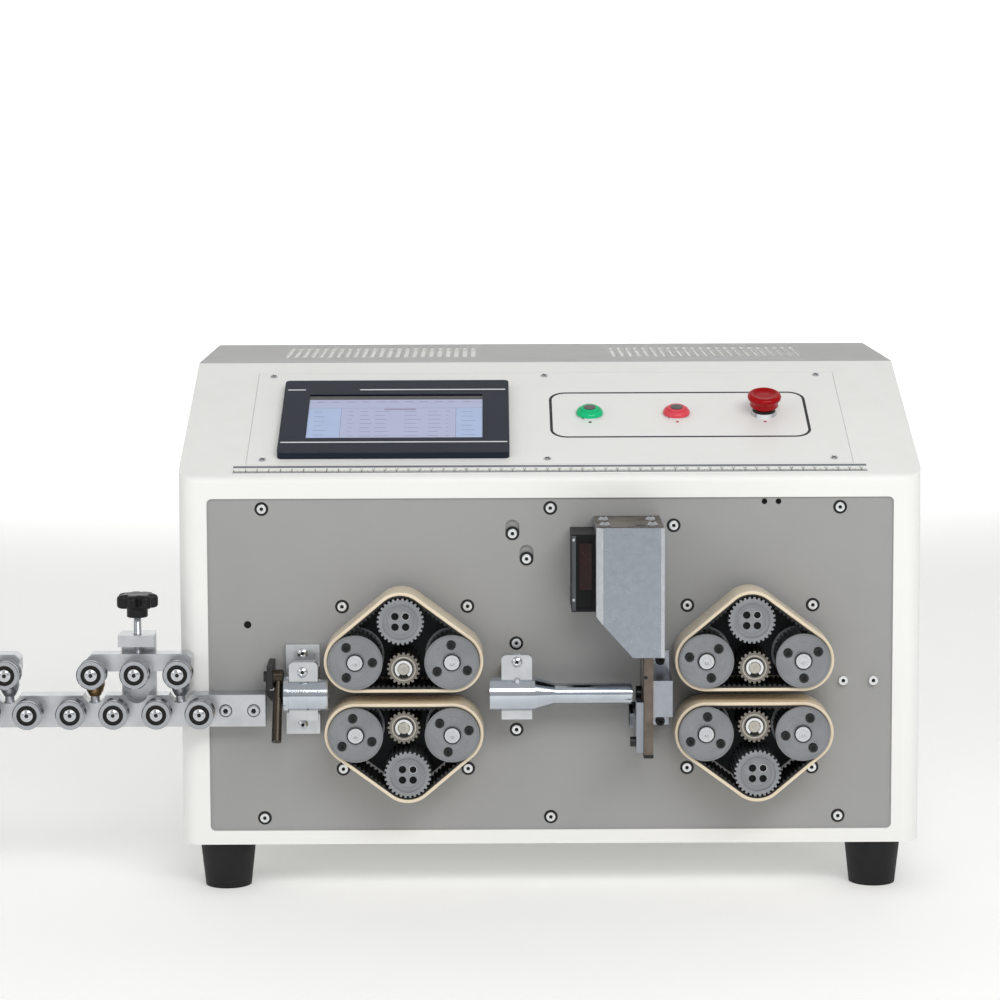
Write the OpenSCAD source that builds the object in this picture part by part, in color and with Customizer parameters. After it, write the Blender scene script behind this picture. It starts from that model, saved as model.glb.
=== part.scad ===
// Bench wire cutting and stripping machine: belt feed units, cutting head and wire straightener on a cabinet.
// Millimetres, +Z up, the front of the machine faces -Y, the wire runs along X.

/* [Cabinet] */
// Width of the cabinet
cab_w = 640; // [600:1:700]
// Height of the rim between the window and the sloped face
brow_h = 18; // [14:0.5:30]
// Depth of the sloped control face, seen from above
slope_run = 214.5; // [205:0.5:240]
// Height gained by the sloped face
slope_rise = 81.5; // [70:0.5:95]
// Depth of the flat top
top_d = 218.5; // [190:0.5:260]
// Sheet thickness of the cabinet
wall = 2; // [1.5:0.1:3]
// Radius of the two upright front edges
edge_r = 17; // [10:0.5:22]
// Radius of the sheet bends
bend_r = 7; // [4:0.5:9]
// Thickness of the base pan
pan_t = 3; // [2:0.1:4]
// Depth by which a belt's straight sides cut into its arcs
tangent_bite = 0.005; // [0.002:0.001:0.02]
// Gap between pieces that are glued or bolted face to face
seat_gap = 0.05; // [0.02:0.01:0.1]
// Gap between the shell and the pieces fitted inside it
shell_gap = 0.4; // [0.2:0.1:0.8]
// Number of vent slots in each group
vent_n = 23; // [15:1:25]
// Spacing of the vent slots
vent_pitch = 8; // [7:0.1:8.5]
// Width of a vent slot
vent_w = 4.5; // [3:0.1:5]
// Length of a vent slot
vent_len = 110; // [60:1:130]
// Distance of each vent group from the centre
vent_x = 155; // [135:1:170]

/* [Feet] */
// Height of a foot
foot_h = 41; // [30:0.5:50]
// Diameter of a foot at the top
foot_top_d = 49; // [42:0.5:52]
// Diameter of a foot at the bench
foot_low_d = 40; // [30:0.5:41]
// Sideways distance of the feet from the centre
foot_x = 282; // [240:1:284]
// Distance of the feet from the front and rear faces
foot_inset = 28; // [27:0.5:60]

/* [Front panel] */
// Width of the window that shows the front panel
window_w = 590; // [575:1:594]
// Height of the window
window_h = 290; // [284:1:330]
// Height of the window above the cabinet's bottom
window_z = 12; // [10:0.5:16]
// Corner radius of the window
window_r = 4.5; // [2:0.5:8]
// Thickness of the front panel
panel_t = 8; // [6:0.5:10]
// How far the panel reaches behind the window frame
panel_lap = 7; // [5:0.5:8]
// Diameter of a panel screw head
screw_d = 8; // [7:0.5:9]
// How far a screw head stands out of the panel
screw_out = 1.2; // [0.5:0.1:2]
// Depth of the counterbore under a screw head
screw_sink = 3; // [2:0.1:4]
// Clearance around a screw head
screw_gap = 2; // [1.5:0.1:2]

/* [Control face] */
// Width of the control plate
plate_w = 525; // [500:1:540]
// Distance of the control plate up the slope
plate_v = 25; // [23:0.5:27]
// Length of the control plate up the slope
plate_len = 180.5; // [177:0.5:183]
// Thickness of the control plate
plate_t = 1.2; // [0.8:0.1:1.4]
// Width of the ledge that carries the control plate
plate_ledge = 5; // [4:0.5:7]
// Width of the operator screen
screen_w = 202; // [190:1:210]
// Length of the operator screen up the slope
screen_len = 144; // [136:1:146]
// Sideways place of the operator screen
screen_x = -135.5; // [-145:0.5:-120]
// Place of the screen's middle up the slope
screen_v = 107; // [105:0.5:110]
// Height of the screen's rim above the plate
screen_rim = 6; // [4:0.5:8]
// Depth of the screen's case behind the plate
screen_case = 36; // [25:1:40]
// Width of the display area
display_w = 155; // [145:1:160]
// Length of the display area
display_len = 86; // [80:1:92]
// Depth of the display below the rim
display_sink = 1; // [0.5:0.1:2]
// Thickness of the display glass
glass_t = 2; // [1.5:0.1:3]
// Place of the push buttons up the slope
button_v = 121; // [116:1:126]
// Sideways place of the start button
start_x = 37.5; // [30:0.5:60]
// Sideways place of the stop button
stop_x = 115; // [100:0.5:130]
// Sideways place of the emergency stop
estop_x = 193; // [180:0.5:205]
// Diameter of a button collar
collar_d = 23.5; // [22.5:0.1:26]
// Height of a button collar
collar_h = 3.5; // [3:0.1:5]
// Diameter of a button cap
cap_d = 17; // [15:0.1:18]
// How far a button cap stands out of its collar
cap_out = 3.4; // [3.2:0.1:5]
// Travel of a button
button_travel = 2.5; // [1.5:0.1:3]
// Clearance around a moving button
button_gap = 0.3; // [0.2:0.05:0.5]
// Diameter of the threaded body behind a button
button_body_d = 21.5; // [20:0.5:22]
// Length of the body behind a button
button_body_len = 30; // [20:1:34]
// Diameter of the emergency stop's head
estop_d = 30; // [27:0.5:36]
// Height of the emergency stop's head
estop_h = 11.5; // [11:0.5:14]
// Radius of the skirt below the emergency stop's head
estop_skirt_r = 11.6; // [10.5:0.1:12]
// Height of that skirt
estop_skirt_h = 4; // [3.5:0.5:4.5]
// Gap under the emergency stop's head
estop_gap = 4.6; // [4.5:0.1:7]
// Travel of the emergency stop
estop_travel = 4; // [2:0.1:4.2]
// Length of the ruler
ruler_len = 546; // [520:1:570]
// Width of the ruler strip
ruler_w = 13; // [10:0.5:14]
// Thickness of the ruler strip
ruler_t = 0.8; // [0.4:0.1:1.5]
// Distance of the ruler up the slope
ruler_v = 7.5; // [6:0.1:9]

/* [Wire line] */
// Height of the wire above the cabinet's bottom
wire_h = 137; // [132:0.5:142]
// Distance of the wire in front of the panel
wire_out = 30; // [28:0.5:32]

/* [Feed units] */
// Sideways place of the infeed unit
infeed_x = -125.5; // [-128:0.5:-123]
// Sideways place of the outfeed unit
outfeed_x = 172; // [172:0.5:180]
// Spacing of the two flanged pulleys
flange_span = 82; // [80:0.5:84]
// Height of the flanged pulleys from the wire
flange_h = 31.3; // [31:0.1:33]
// Tip radius of a flanged pulley
flange_tip_r = 21.7; // [20.5:0.1:21.7]
// Radius of the flange discs
flange_r = 23.3; // [22.5:0.1:24]
// Thickness of a flange disc
flange_t = 3; // [2:0.1:4]
// Height of the tension pulley above the flanged pulleys
tension_rise = 34.5; // [34:0.1:37]
// Sideways shift of the upper tension pulleys
tension_shift_up = -2.5; // [-3:0.5:3]
// Sideways shift of the lower tension pulleys
tension_shift_low = 3; // [-3:0.5:3]
// Tip radius of the tension pulley
tension_tip_r = 20; // [18:0.1:20]
// Tip radius of the support pulley
support_tip_r = 14; // [12:0.1:14]
// Distance of the flange screws from the shaft
flange_screw_r = 14.8; // [13:0.1:15.5]
// Diameter of a flange screw's recess
flange_screw_d = 8.6; // [7:0.1:9]
// Depth of a flange screw's recess
flange_sink = 1.5; // [1:0.1:2]
// Distance of the dark holes from a tension pulley's centre
hub_hole_r = 6.4; // [5.5:0.1:7]
// Diameter of those holes
hub_hole_d = 6; // [4:0.1:6.5]
// Teeth of a flanged pulley
flange_teeth = 34; // [30:1:36]
// Teeth of the tension pulley
tension_teeth = 30; // [26:1:32]
// Teeth of the support pulley
support_teeth = 20; // [18:1:22]
// Depth of the pulley teeth
tooth_h = 1.7; // [1:0.1:2]
// Width of the belts
belt_w = 38; // [34:0.5:40]
// Distance of the belts in front of the panel
belt_out = 10; // [9.6:0.1:11]
// Gap between belt and pulleys
belt_gap = 0.4; // [0.3:0.05:0.6]
// Thickness of the belt's toothed core
core_t = 1.4; // [1:0.1:1.8]
// Thickness of the belt's cover
cover_t = 3; // [2:0.1:3.2]
// Spacing of the belt teeth
belt_pitch = 4.3; // [4:0.05:6]
// Diameter of the driven shafts
shaft_d = 14; // [12:0.5:14]
// How far a driven shaft stands out of its flange
shaft_out = 2; // [1:0.1:4]
// Diameter of the fixed axle pins
pin_d = 10; // [8:0.5:10]
// Running clearance around shafts and pins
run_gap = 0.06; // [0.03:0.01:0.1]
// Thickness of the plate inside a belt loop
frame_t = 6; // [5:0.1:6.2]
// Gap between sliding frames and the panel
slide_gap = 0.4; // [0.3:0.05:0.6]
// Width of the guide block that runs in the panel
block_w = 28; // [24:0.5:30]
// Height of the guide block
block_h = 18; // [14:0.5:18]
// Thickness of the beam behind the panel
beam_t = 10; // [8:0.5:12]
// How far each feed frame opens
open_travel = 6; // [3:0.1:6]
// How far each feed frame closes
close_travel = 4; // [2:0.1:4]

/* [Wire guides] */
// Bore of the wire guides
guide_bore = 12; // [9:0.5:13]
// Outer diameter of the inlet tube
inlet_d = 27.5; // [24:0.5:28]
// Left end of the inlet tube
inlet_x0 = -228; // [-228.5:0.1:-226]
// Right end of the inlet tube
inlet_x1 = -190; // [-194:0.5:-188]
// Diameter of the inlet tube's rim
inlet_rim_d = 31; // [29:0.5:34]
// Length of the inlet tube's rim
inlet_rim_len = 4; // [2:0.5:5]
// Place of the fine groove round the inlet tube
tube_groove_x = -208; // [-212:0.1:-204]
// Depth of that groove and of the tubes' chamfers
tube_groove = 0.6; // [0.3:0.1:1]
// Left end of the guide tube
guide_x0 = -52.5; // [-54:0.5:-50]
// Right end of the guide tube's thick part
guide_x1 = -14; // [-15:0.5:-10]
// Start of the guide tube's pipe
guide_x2 = 3; // [0:0.5:8]
// Right end of the guide tube's pipe
guide_x3 = 68; // [60:0.5:69]
// Outer diameter of the guide tube's thick part
guide_d = 29; // [26:0.5:29]
// Outer diameter of the guide tube's pipe
pipe_d = 18; // [15:0.5:19]
// Width of the guide tube's clamp
clamp_w = 26; // [22:0.5:27]
// Height of the clamps
clamp_h = 42; // [38:0.5:44]
// Height of the inlet clamp's front flange above the wire
inlet_flange_h = 29; // [26:0.5:32]
// Height of the guide tube clamp's front flange above the wire
guide_flange_h = 34.5; // [30:0.5:36]
// Thickness of a clamp's front flange
clamp_flange_t = 10; // [8:0.5:12]
// Corner radius of a clamp's front flange
clamp_flange_r = 4; // [2:0.5:5]
// How far the clamps reach in front of the wire
clamp_reach = 6; // [3:0.5:8]
// Height of the open front of a clamp
clamp_mouth = 20; // [18:0.5:22]
// Height of the inlet clamp's foot plate
inlet_foot_h = 78; // [70:0.5:80]
// Thickness of the inlet clamp's foot plate
inlet_foot_t = 5; // [4:0.5:6]

/* [Cutting head] */
// Left face of the blade rail
rail_x = 77.3; // [76.8:0.1:78]
// Width of the blade rail
rail_w = 7.7; // [7:0.1:8.5]
// How far the blade rail stands out of the panel
rail_out = 70; // [66:0.5:72]
// Lower end of the rail above the cabinet's bottom
rail_z0 = 92; // [88:0.5:93]
// Upper end of the rail above the cabinet's bottom
rail_z1 = 200; // [195:0.5:230]
// Depth of the slot that guides the blades
blade_slot = 3; // [2:0.1:3.5]
// Width of a blade
blade_w = 30; // [24:0.5:30]
// Gap from the wire to each blade edge
blade_open = 8.5; // [8.3:0.1:9.5]
// Travel of each blade
blade_travel = 7.5; // [4:0.1:7.5]
// Gap around the moving blade carriages
blade_gap = 0.3; // [0.2:0.05:0.4]
// Width of the cutter cover
cover_w = 57; // [55:0.5:58]
// Height of the cutter cover
cover_h = 109.5; // [105:0.5:112]
// How far the cutter cover stands out of the panel
cover_out = 77; // [75:0.5:80]
// Bottom of the cutter cover above the cabinet's bottom
cover_z = 176; // [174:0.5:178]
// Right face of the cutter cover
cover_x = 94; // [93:0.5:96]
// Wall of the cutter cover
cover_wall = 3.5; // [3:0.1:4]
// Width of the cover's slanted lower corner
cover_cut_w = 30.5; // [28:0.5:31]
// Height of the cover's slanted lower corner
cover_cut_h = 34; // [30:0.5:36]
// Width of the bevel on the cover's front edge
cover_bevel = 5.5; // [4:0.5:7]
// Width of the sensor box
sensor_w = 20; // [16:0.5:22]
// Height of the sensor box
sensor_h = 66; // [60:0.5:70]
// How far the sensor box stands out of the panel
sensor_out = 48; // [40:0.5:55]
// Bottom of the sensor box above the cabinet's bottom
sensor_z = 210.5; // [210.5:0.5:215]
// Width of the outlet block
outlet_w = 17; // [15:0.5:17]
// Height of the outlet block
outlet_h = 31; // [28:0.5:34]
// How far the outlet block stands out of the panel
outlet_out = 56; // [50:0.5:60]
// Height of the outlet block's foot plate
outlet_foot_h = 65; // [60:0.5:70]
// Thickness of the outlet block's foot plate
outlet_foot_t = 4; // [3:0.5:5]

/* [Straightener] */
// Right end of the straightener bar
bar_x1 = -245; // [-247:0.5:-244]
// Length of the straightener bar
bar_len = 338; // [330:1:350]
// Height of the straightener bar
bar_h = 27.5; // [26:0.5:30]
// Thickness of the straightener bar
bar_t = 18; // [16:0.5:19]
// Gap between the bar and the cabinet's front
bar_gap = 0.5; // [0.4:0.1:1]
// Width of the foot behind the bar
bar_foot_w = 45; // [38:0.5:48]
// Height of the lower rollers below the wire
roller_drop = 15.5; // [15:0.1:17]
// Height of the upper rollers above the wire
roller_rise = 19; // [18:0.1:21]
// Spacing of the rollers
roller_pitch = 36.7; // [36:0.1:38]
// Distance of the first roller from the bar's right end
roller_inset = 55; // [50:0.5:58]
// Radius of a roller
roller_r = 12.5; // [11.5:0.1:13]
// Width of a roller
roller_w = 18.5; // [17:0.1:19]
// Depth of a roller's groove
groove_h = 2.5; // [1.5:0.1:3]
// Diameter of a roller's axle
axle_d = 8; // [6:0.5:8]
// Diameter of an axle's head
axle_head_d = 10.4; // [9.6:0.1:11]
// Gap between a roller and the bar behind it
roller_gap = 0.4; // [0.3:0.05:0.6]
// Height of a pressure plate
press_h = 15; // [13:0.5:17]
// How far a pressure plate reaches past its outer rollers
press_over = 10.5; // [9:0.5:12]
// Gap between a pressure plate and its yoke
press_gap = 0.4; // [0.3:0.05:0.6]
// Diameter of the guide posts
post_d = 8; // [6:0.5:8]
// Depth of the guide post holes in the bar
post_depth = 12; // [10:0.5:14]
// Width of a yoke's stem
yoke_w = 29; // [26:0.5:32]
// Thickness of a yoke's stem
yoke_t = 10; // [8:0.5:12]
// Height of a yoke's cross block
yoke_block_h = 10; // [8:0.5:12]
// Gap between the cross block and the pressure plate
yoke_gap = 6; // [5.5:0.1:7]
// Diameter of a pressure screw
press_screw_d = 6.8; // [6:0.1:7]
// Length of a pressure screw above its cross block
press_screw_len = 23; // [18:0.5:28]
// Diameter of a knob
knob_d = 36; // [30:0.5:40]
// Height of a knob
knob_h = 12; // [10:0.5:18]
// Number of lobes on a knob
knob_lobes = 7; // [5:1:8]
// Travel of a pressure plate each way
press_travel = 3; // [1:0.1:3]

/* [Inlet lever] */
// Diameter of the lever's grip
grip_d = 8.4; // [7:0.1:8.6]
// Length of the lever
lever_len = 58.5; // [55:0.5:66]
// Lean of the lever towards the operator
lever_lean = 30; // [25:1:32]
// Sideways place of the lever
lever_x = -233; // [-233.2:0.1:-232.8]
// Height of the lever's pivot above the wire
lever_rise = 16; // [15:0.5:18]
// Diameter of the lever's pivot pin
lever_pin_d = 6; // [5:0.1:6]

/* [Hidden] */
$fn = 48;
UNITS = ["infeed", "outfeed"];
SIDES = ["upper", "lower"];
WHEELS = ["left_pulley", "right_pulley", "tension_pulley", "support_pulley"];
PULLEYS = [for (u = UNITS, s = SIDES, w = WHEELS) str(u, "_", s, "_", w)];
lower_n = 8;
LOWER_ROLLERS = [for (i = [1:lower_n]) str("lower_roller_", i)];
UPPER_ROLLERS = [for (g = ["inner", "outer"], i = [1:3]) str(g, "_upper_roller_", i)];
FIXED = ["cabinet_shell", "base_pan", "feet", "front_panel", "control_plate", "ruler", "touch_screen",
         "button_collars", "cutter_cover", "sensor_box", "blade_rail", "guide_tubes", "tube_clamps",
         "straightener_bar", "panel_screws", "inner_modules"];
MOVING = ["upper_feed_frame", "lower_feed_frame", "upper_belts", "lower_belts", "inner_pressure_plate",
          "outer_pressure_plate", "inner_knob", "outer_knob", "upper_blade_carriage",
          "lower_blade_carriage", "start_button", "stop_button", "emergency_stop", "inlet_lever"];

eps = 0.01;
// Rest angles of the flange screws: infeed and outfeed, upper and lower, left and right
flange_turns = [[[90, 118], [111, 74]], [[44, 58], [4, 24]]];
socket_w = 28;
socket_h = 48;
socket_x = -220;
socket_z = foot_h + 60;
cab_d = slope_run + top_d;
front_h = window_z + window_h + brow_h;
cab_h = front_h + slope_rise;
slope_a = atan(slope_rise / slope_run);
panel_inset = wall;
wire_z = foot_h + wire_h;
bar_x0 = bar_x1 - bar_len;
front_y = panel_inset - cover_out;
socket_rim_t = 2;
back_y = cab_d + socket_rim_t;
origin_shift = [-(bar_x0 + cab_w / 2) / 2, -(front_y + back_y) / 2, 0];
belt_end = belt_out + belt_w;
loop_r = [flange_tip_r + belt_gap, flange_tip_r + belt_gap, tension_tip_r + belt_gap];
belt_tooth_h = tooth_h;
support_h = flange_h - loop_r[0] + belt_tooth_h + belt_gap + support_tip_r;
block_z = (support_h + pin_d / 2 + flange_h + tension_rise - pin_d / 2) / 2;
bar_z = wire_z - roller_drop;
bar_p0 = panel_inset + bar_gap;
bar_p1 = bar_p0 + bar_t;
roller_p0 = bar_p1 + roller_gap;
roller_p1 = roller_p0 + roller_w;
press_z = wire_z + roller_rise;
press_p0 = bar_p0 + press_gap;
yoke_z = press_z + press_h + yoke_gap;
carriage_w = 9;
carriage_plate_t = 6;
carriage_x = rail_x - blade_gap - carriage_w;
rod_d = 8;
rod_x = carriage_x + carriage_w / 2;
rod_y = panel_inset + panel_t + beam_t + 9;
arm_h = 12;
carriage_p0 = 14;
carriage_p1 = wire_out + 28;
carriage_rise = 55;
carriage_notch_h = 17;
clamp_knob_d = 8.6;
clamp_knob_h = 5;
upper_arm_z = wire_z + 79;
lower_arm_z = wire_z - 33;

// Unit vector along v
function unit(v) = v / norm(v);

// Points of the arc that rounds the corner p1 between p0 and p2
function corner(p0, p1, p2, r, n) =
    let (a = unit(p0 - p1), b = unit(p2 - p1), half = acos(a * b) / 2)
    let (c = p1 + unit(a + b) * r / sin(half), s = p1 + a * r / tan(half), e = p1 + b * r / tan(half))
    let (start = atan2(s.y - c.y, s.x - c.x), turn = atan2(cross(s - c, e - c), (s - c) * (e - c)))
    r <= 0 ? [p1] : [for (i = [0:n]) c + r * [cos(start + turn * i / n), sin(start + turn * i / n)]];

// Polygon p with its corners rounded by the radii r
function round_poly(p, r, n = 8) =
    [for (i = [0:len(p) - 1])
        each corner(p[(i + len(p) - 1) % len(p)], p[i], p[(i + 1) % len(p)], r[i], n)];

// Convex polygon p, counted anticlockwise, moved inwards by d
function inset(p, d) =
    [for (i = [0:len(p) - 1])
        let (a = unit(p[i] - p[(i + len(p) - 1) % len(p)]), b = unit(p[(i + 1) % len(p)] - p[i]))
        let (na = [-a.y, a.x], nb = [-b.y, b.x])
        p[i] + d * (na + nb) / (1 + na * nb)];

// Direction from a circle's centre to the tangent point shared with the next circle
function tangent(c0, r0, c1, r1) =
    let (u = unit(c1 - c0), s = (r0 - r1) / norm(c1 - c0))
    [u.y, -u.x] * sqrt(1 - s * s) + u * s;

// Outline of a toothed wheel
function toothed(r, depth, n) =
    [for (i = [0:n - 1], k = [[-0.32, -depth], [-0.2, 0], [0.2, 0], [0.32, -depth]])
        (r + k[1]) * [cos((i + k[0]) * 360 / n), sin((i + k[0]) * 360 / n)]];

// Pulley centres of a feed unit, anticlockwise from the left flanged pulley
function unit_centres(up) =
    up ? [[-flange_span / 2, flange_h], [flange_span / 2, flange_h],
          [tension_shift_up, flange_h + tension_rise]]
       : [[flange_span / 2, -flange_h], [-flange_span / 2, -flange_h],
          [tension_shift_low, -flange_h - tension_rise]];

// Moves the model so that its origin is at the bottom centre of its box
module place() {
    translate(origin_shift) children();
}

// Extrudes a front-view outline from p0 to p1 in front of the panel
module front(p0, p1) {
    translate([0, panel_inset - p0, 0]) rotate([90, 0, 0]) linear_extrude(p1 - p0) children();
}

// Frame of the sloped face: x sideways, y up the slope, z out of it
module on_slope() {
    translate([0, 0, foot_h + front_h]) rotate([slope_a, 0, 0]) children();
}

// Rectangle with rounded corners, centred
module soft_rect(w, h, r, n = 8) {
    p = [[-w / 2, -h / 2], [w / 2, -h / 2], [w / 2, h / 2], [-w / 2, h / 2]];
    polygon(round_poly(p, [r, r, r, r], n));
}

// Revolves a profile of (distance along X, radius) points about the wire axis
module along_wire() {
    translate([0, panel_inset - wire_out, wire_z]) rotate([0, 90, 0]) rotate_extrude() children();
}

// Area inside a loop round the circles, its straight sides set a hair inside the tangents
module loop_area(c, r) {
    m = len(c);
    n = [for (i = [0:m - 1]) tangent(c[i], r[i], c[(i + 1) % m], r[(i + 1) % m])];
    union() {
        for (i = [0:m - 1]) translate(c[i]) circle(r[i]);
        polygon([for (i = [0:m - 1], k = [i, (i + 1) % m]) c[k] + (r[k] - tangent_bite) * n[i]]);
    }
}

// Solid envelope of the cabinet, drawn in by d and opened at the bottom and back by past
module cabinet_solid(d, past) {
    side = [[0, -past], [cab_d + past, -past], [cab_d + past, cab_h], [slope_run, cab_h], [0, front_h]];
    r = edge_r - d;
    intersection() {
        translate([-cab_w / 2 + d, 0, foot_h]) rotate([90, 0, 90]) linear_extrude(cab_w - 2 * d)
            polygon(round_poly(inset(side, d), [0, 0, 0, bend_r - d, bend_r - d]));
        translate([0, d, foot_h - past - d]) linear_extrude(cab_h + 2 * past) union() {
            translate([-cab_w / 2 + d, r]) square([cab_w - 2 * d, cab_d + 2 * past]);
            translate([-cab_w / 2 + d + r, 0]) square([cab_w - 2 * (d + r), 2 * r]);
            for (s = [-1, 1]) translate([s * (cab_w / 2 - d - r), r]) circle(r);
        }
    }
}

module vent_slots() {
    for (g = [-1, 1], i = [0:vent_n - 1])
        translate([g * vent_x + (i - (vent_n - 1) / 2) * vent_pitch, slope_run + top_d / 2 + 4])
            soft_rect(vent_w, vent_len, vent_w / 2 - eps, 2);
}

module cabinet_shell() {
    color("#e8e8e4") difference() {
        cabinet_solid(0, 0);
        cabinet_solid(wall, 30);
        translate([0, 0, foot_h + window_z + window_h / 2]) translate([0, wall + eps, 0]) rotate([90, 0, 0])
            linear_extrude(wall + 2 * eps + 2) soft_rect(window_w, window_h, window_r);
        translate([0, 0, foot_h + cab_h - wall - 1]) linear_extrude(wall + 2) vent_slots();
        on_slope() {
            translate([0, plate_v + plate_len / 2, -plate_t]) linear_extrude(plate_t + 2)
                square([plate_w + 2 * shell_gap, plate_len + 2 * shell_gap], center = true);
            translate([0, plate_v + plate_len / 2, -2 * wall]) linear_extrude(2 * wall + 2)
                square([plate_w - 2 * plate_ledge, plate_len - 2 * plate_ledge], center = true);
        }
    }
}

module base_pan() {
    w = cab_w - 2 * wall - 2 * shell_gap;
    y0 = wall + shell_gap;
    lip_h = 25;
    vent_rows = 10;
    color("#d8d8d4") difference() {
        union() {
            translate([-w / 2 + edge_r, y0, foot_h]) cube([w - 2 * edge_r, edge_r, pan_t]);
            translate([-w / 2, y0 + edge_r, foot_h]) cube([w, cab_d - y0 - edge_r, pan_t]);
            translate([-w / 2, cab_d - wall, foot_h]) cube([w, wall, cab_h - wall - shell_gap]);
            for (s = [-1, 1])
                translate([s * (w / 2 - wall / 2) - wall / 2, y0 + edge_r, foot_h])
                    cube([wall, cab_d - y0 - edge_r, lip_h]);
        }
        for (i = [0:vent_rows - 1])
            translate([0, cab_d + 1, foot_h + 200 + i * 14]) rotate([90, 0, 0])
                linear_extrude(wall + 2) soft_rect(160, 5, 2.4, 2);
        translate([socket_x, cab_d + 1, socket_z]) rotate([90, 0, 0]) linear_extrude(wall + 2)
            square([socket_w, socket_h], center = true);
    }
}

module feet() {
    color("#151515") for (x = [-foot_x, foot_x], y = [foot_inset, cab_d - foot_inset])
        translate([x, y, 0]) difference() {
            cylinder(d1 = foot_low_d, d2 = foot_top_d, h = foot_h);
            translate([0, 0, -eps]) cylinder(d = foot_low_d / 2, h = foot_h / 4);
        }
}

// Places of the panel screws, sideways and above the cabinet's bottom
screw_spots = concat(
    [for (x = [-window_w / 2 + 47, 0, window_w / 2 - 46], z = [window_z + 11, window_z + window_h - 9]) [x, z]],
    [for (u = [infeed_x, outfeed_x], x = [-54, 54], z = [-71, 71]) [u + x, wire_h + z]],
    [for (z = [-37, 38.5]) [guide_x0 + 23, wire_h + z]],
    [[cover_x + 12, cover_z + cover_h - 8]]);
proud_spots = [[252.5, wire_h + 5.3], [278.5, wire_h + 5.3]];
slot_spots = [[-32.6, wire_h + 134], [-20.5, wire_h + 112]];
slot_up = 6;
small_holes = [[-261, wire_h + 55.5, 6.5], [184, window_z + window_h - 4, 5], [196, window_z + window_h - 4, 5]];

// Upright slot in the panel for something of size w by h that moves up by rise and down by fall
module run_slot(w, h, rise, fall) {
    translate([-w / 2 - slide_gap, -h / 2 - fall - slide_gap])
        square([w + 2 * slide_gap, h + rise + fall + 2 * slide_gap]);
}

module front_panel() {
    w = window_w + 2 * panel_lap;
    h = window_h + window_z + panel_lap - pan_t;
    color("#9b9b9b") difference() {
        translate([-w / 2, panel_inset, foot_h + pan_t]) cube([w, panel_t, h]);
        for (s = screw_spots) translate([s.x, panel_inset - eps, foot_h + s.y]) rotate([-90, 0, 0])
            cylinder(d = screw_d + 2 * screw_gap, h = screw_sink + seat_gap + eps);
        for (s = slot_spots) translate([s.x, panel_inset - eps, foot_h + s.y]) rotate([-90, 0, 0])
            linear_extrude(screw_sink + seat_gap + eps)
                polygon(round_poly([[-6, -6 - slot_up], [6, -6 - slot_up], [6, 6], [-6, 6]], [5.9, 5.9, 5.9, 5.9]));
        for (s = small_holes) translate([s.x, panel_inset - eps, foot_h + s.y]) rotate([-90, 0, 0])
            cylinder(d = s.z, h = screw_sink);
        translate([0, panel_inset + panel_t + 1, wire_z]) rotate([90, 0, 0]) linear_extrude(panel_t + 2)
            for (u = [infeed_x, outfeed_x], up = [true, false]) translate([u, 0]) {
                rise = up ? open_travel : close_travel;
                fall = up ? close_travel : open_travel;
                z = up ? 1 : -1;
                for (x = [-1, 1]) translate([x * flange_span / 2, z * flange_h])
                    run_slot(shaft_d, shaft_d, rise, fall);
                translate([0, z * block_z]) run_slot(block_w, block_h, rise, fall);
            }
        for (a = [[upper_arm_z, 0, blade_travel], [lower_arm_z, blade_travel, 0]])
            translate([rod_x, panel_inset + panel_t + 1, a[0] + arm_h / 2]) rotate([90, 0, 0])
                linear_extrude(panel_t + 2) run_slot(carriage_w, arm_h, a[1], a[2]);
    }
}

module socket_screw() {
    difference() {
        cylinder(d = screw_d, h = screw_sink + screw_out);
        translate([0, 0, screw_sink - 1]) cylinder(d = screw_d * 0.55, h = screw_sink + 2, $fn = 6);
    }
}

module panel_screws() {
    color("#c8c8c8") for (s = concat(screw_spots, slot_spots))
        translate([s.x, panel_inset + screw_sink, foot_h + s.y]) rotate([90, 0, 0]) socket_screw();
    color("#c8c8c8") for (s = proud_spots) translate([s.x, panel_inset, foot_h + s.y]) rotate([90, 0, 0])
        socket_screw();
}

module control_plate() {
    holes = [[start_x, button_body_d], [stop_x, button_body_d], [estop_x, button_body_d]];
    color("#ececea") on_slope() difference() {
        translate([-plate_w / 2, plate_v, -plate_t]) cube([plate_w, plate_len, plate_t]);
        translate([screen_x, screen_v, -plate_t - 1]) linear_extrude(plate_t + 2)
            square([screen_w - 12 + 2 * shell_gap, screen_len - 12 + 2 * shell_gap], center = true);
        for (h = holes) translate([h[0], button_v, -plate_t - 1])
            cylinder(d = h[1] + 2 * button_gap, h = plate_t + 2);
    }
}

module ruler() {
    color("#f2f2f0") on_slope() translate([-ruler_len / 2, ruler_v, 0]) cube([ruler_len, ruler_w, ruler_t]);
}

module touch_screen() {
    color("#1b2230") on_slope() translate([screen_x, screen_v, 0]) difference() {
        union() {
            linear_extrude(screen_rim) soft_rect(screen_w, screen_len, 4);
            translate([0, 0, -screen_case]) linear_extrude(screen_case + 1)
                square([screen_w - 12, screen_len - 12], center = true);
        }
        translate([0, 0, screen_rim - display_sink - glass_t]) linear_extrude(display_sink + glass_t + 1)
            square([display_w, display_len], center = true);
    }
    color("#c9cdea") on_slope() translate([screen_x, screen_v, screen_rim - display_sink - glass_t])
        translate([0, 0, seat_gap]) linear_extrude(glass_t - seat_gap)
            square([display_w - 2 * seat_gap, display_len - 2 * seat_gap], center = true);
}

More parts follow.
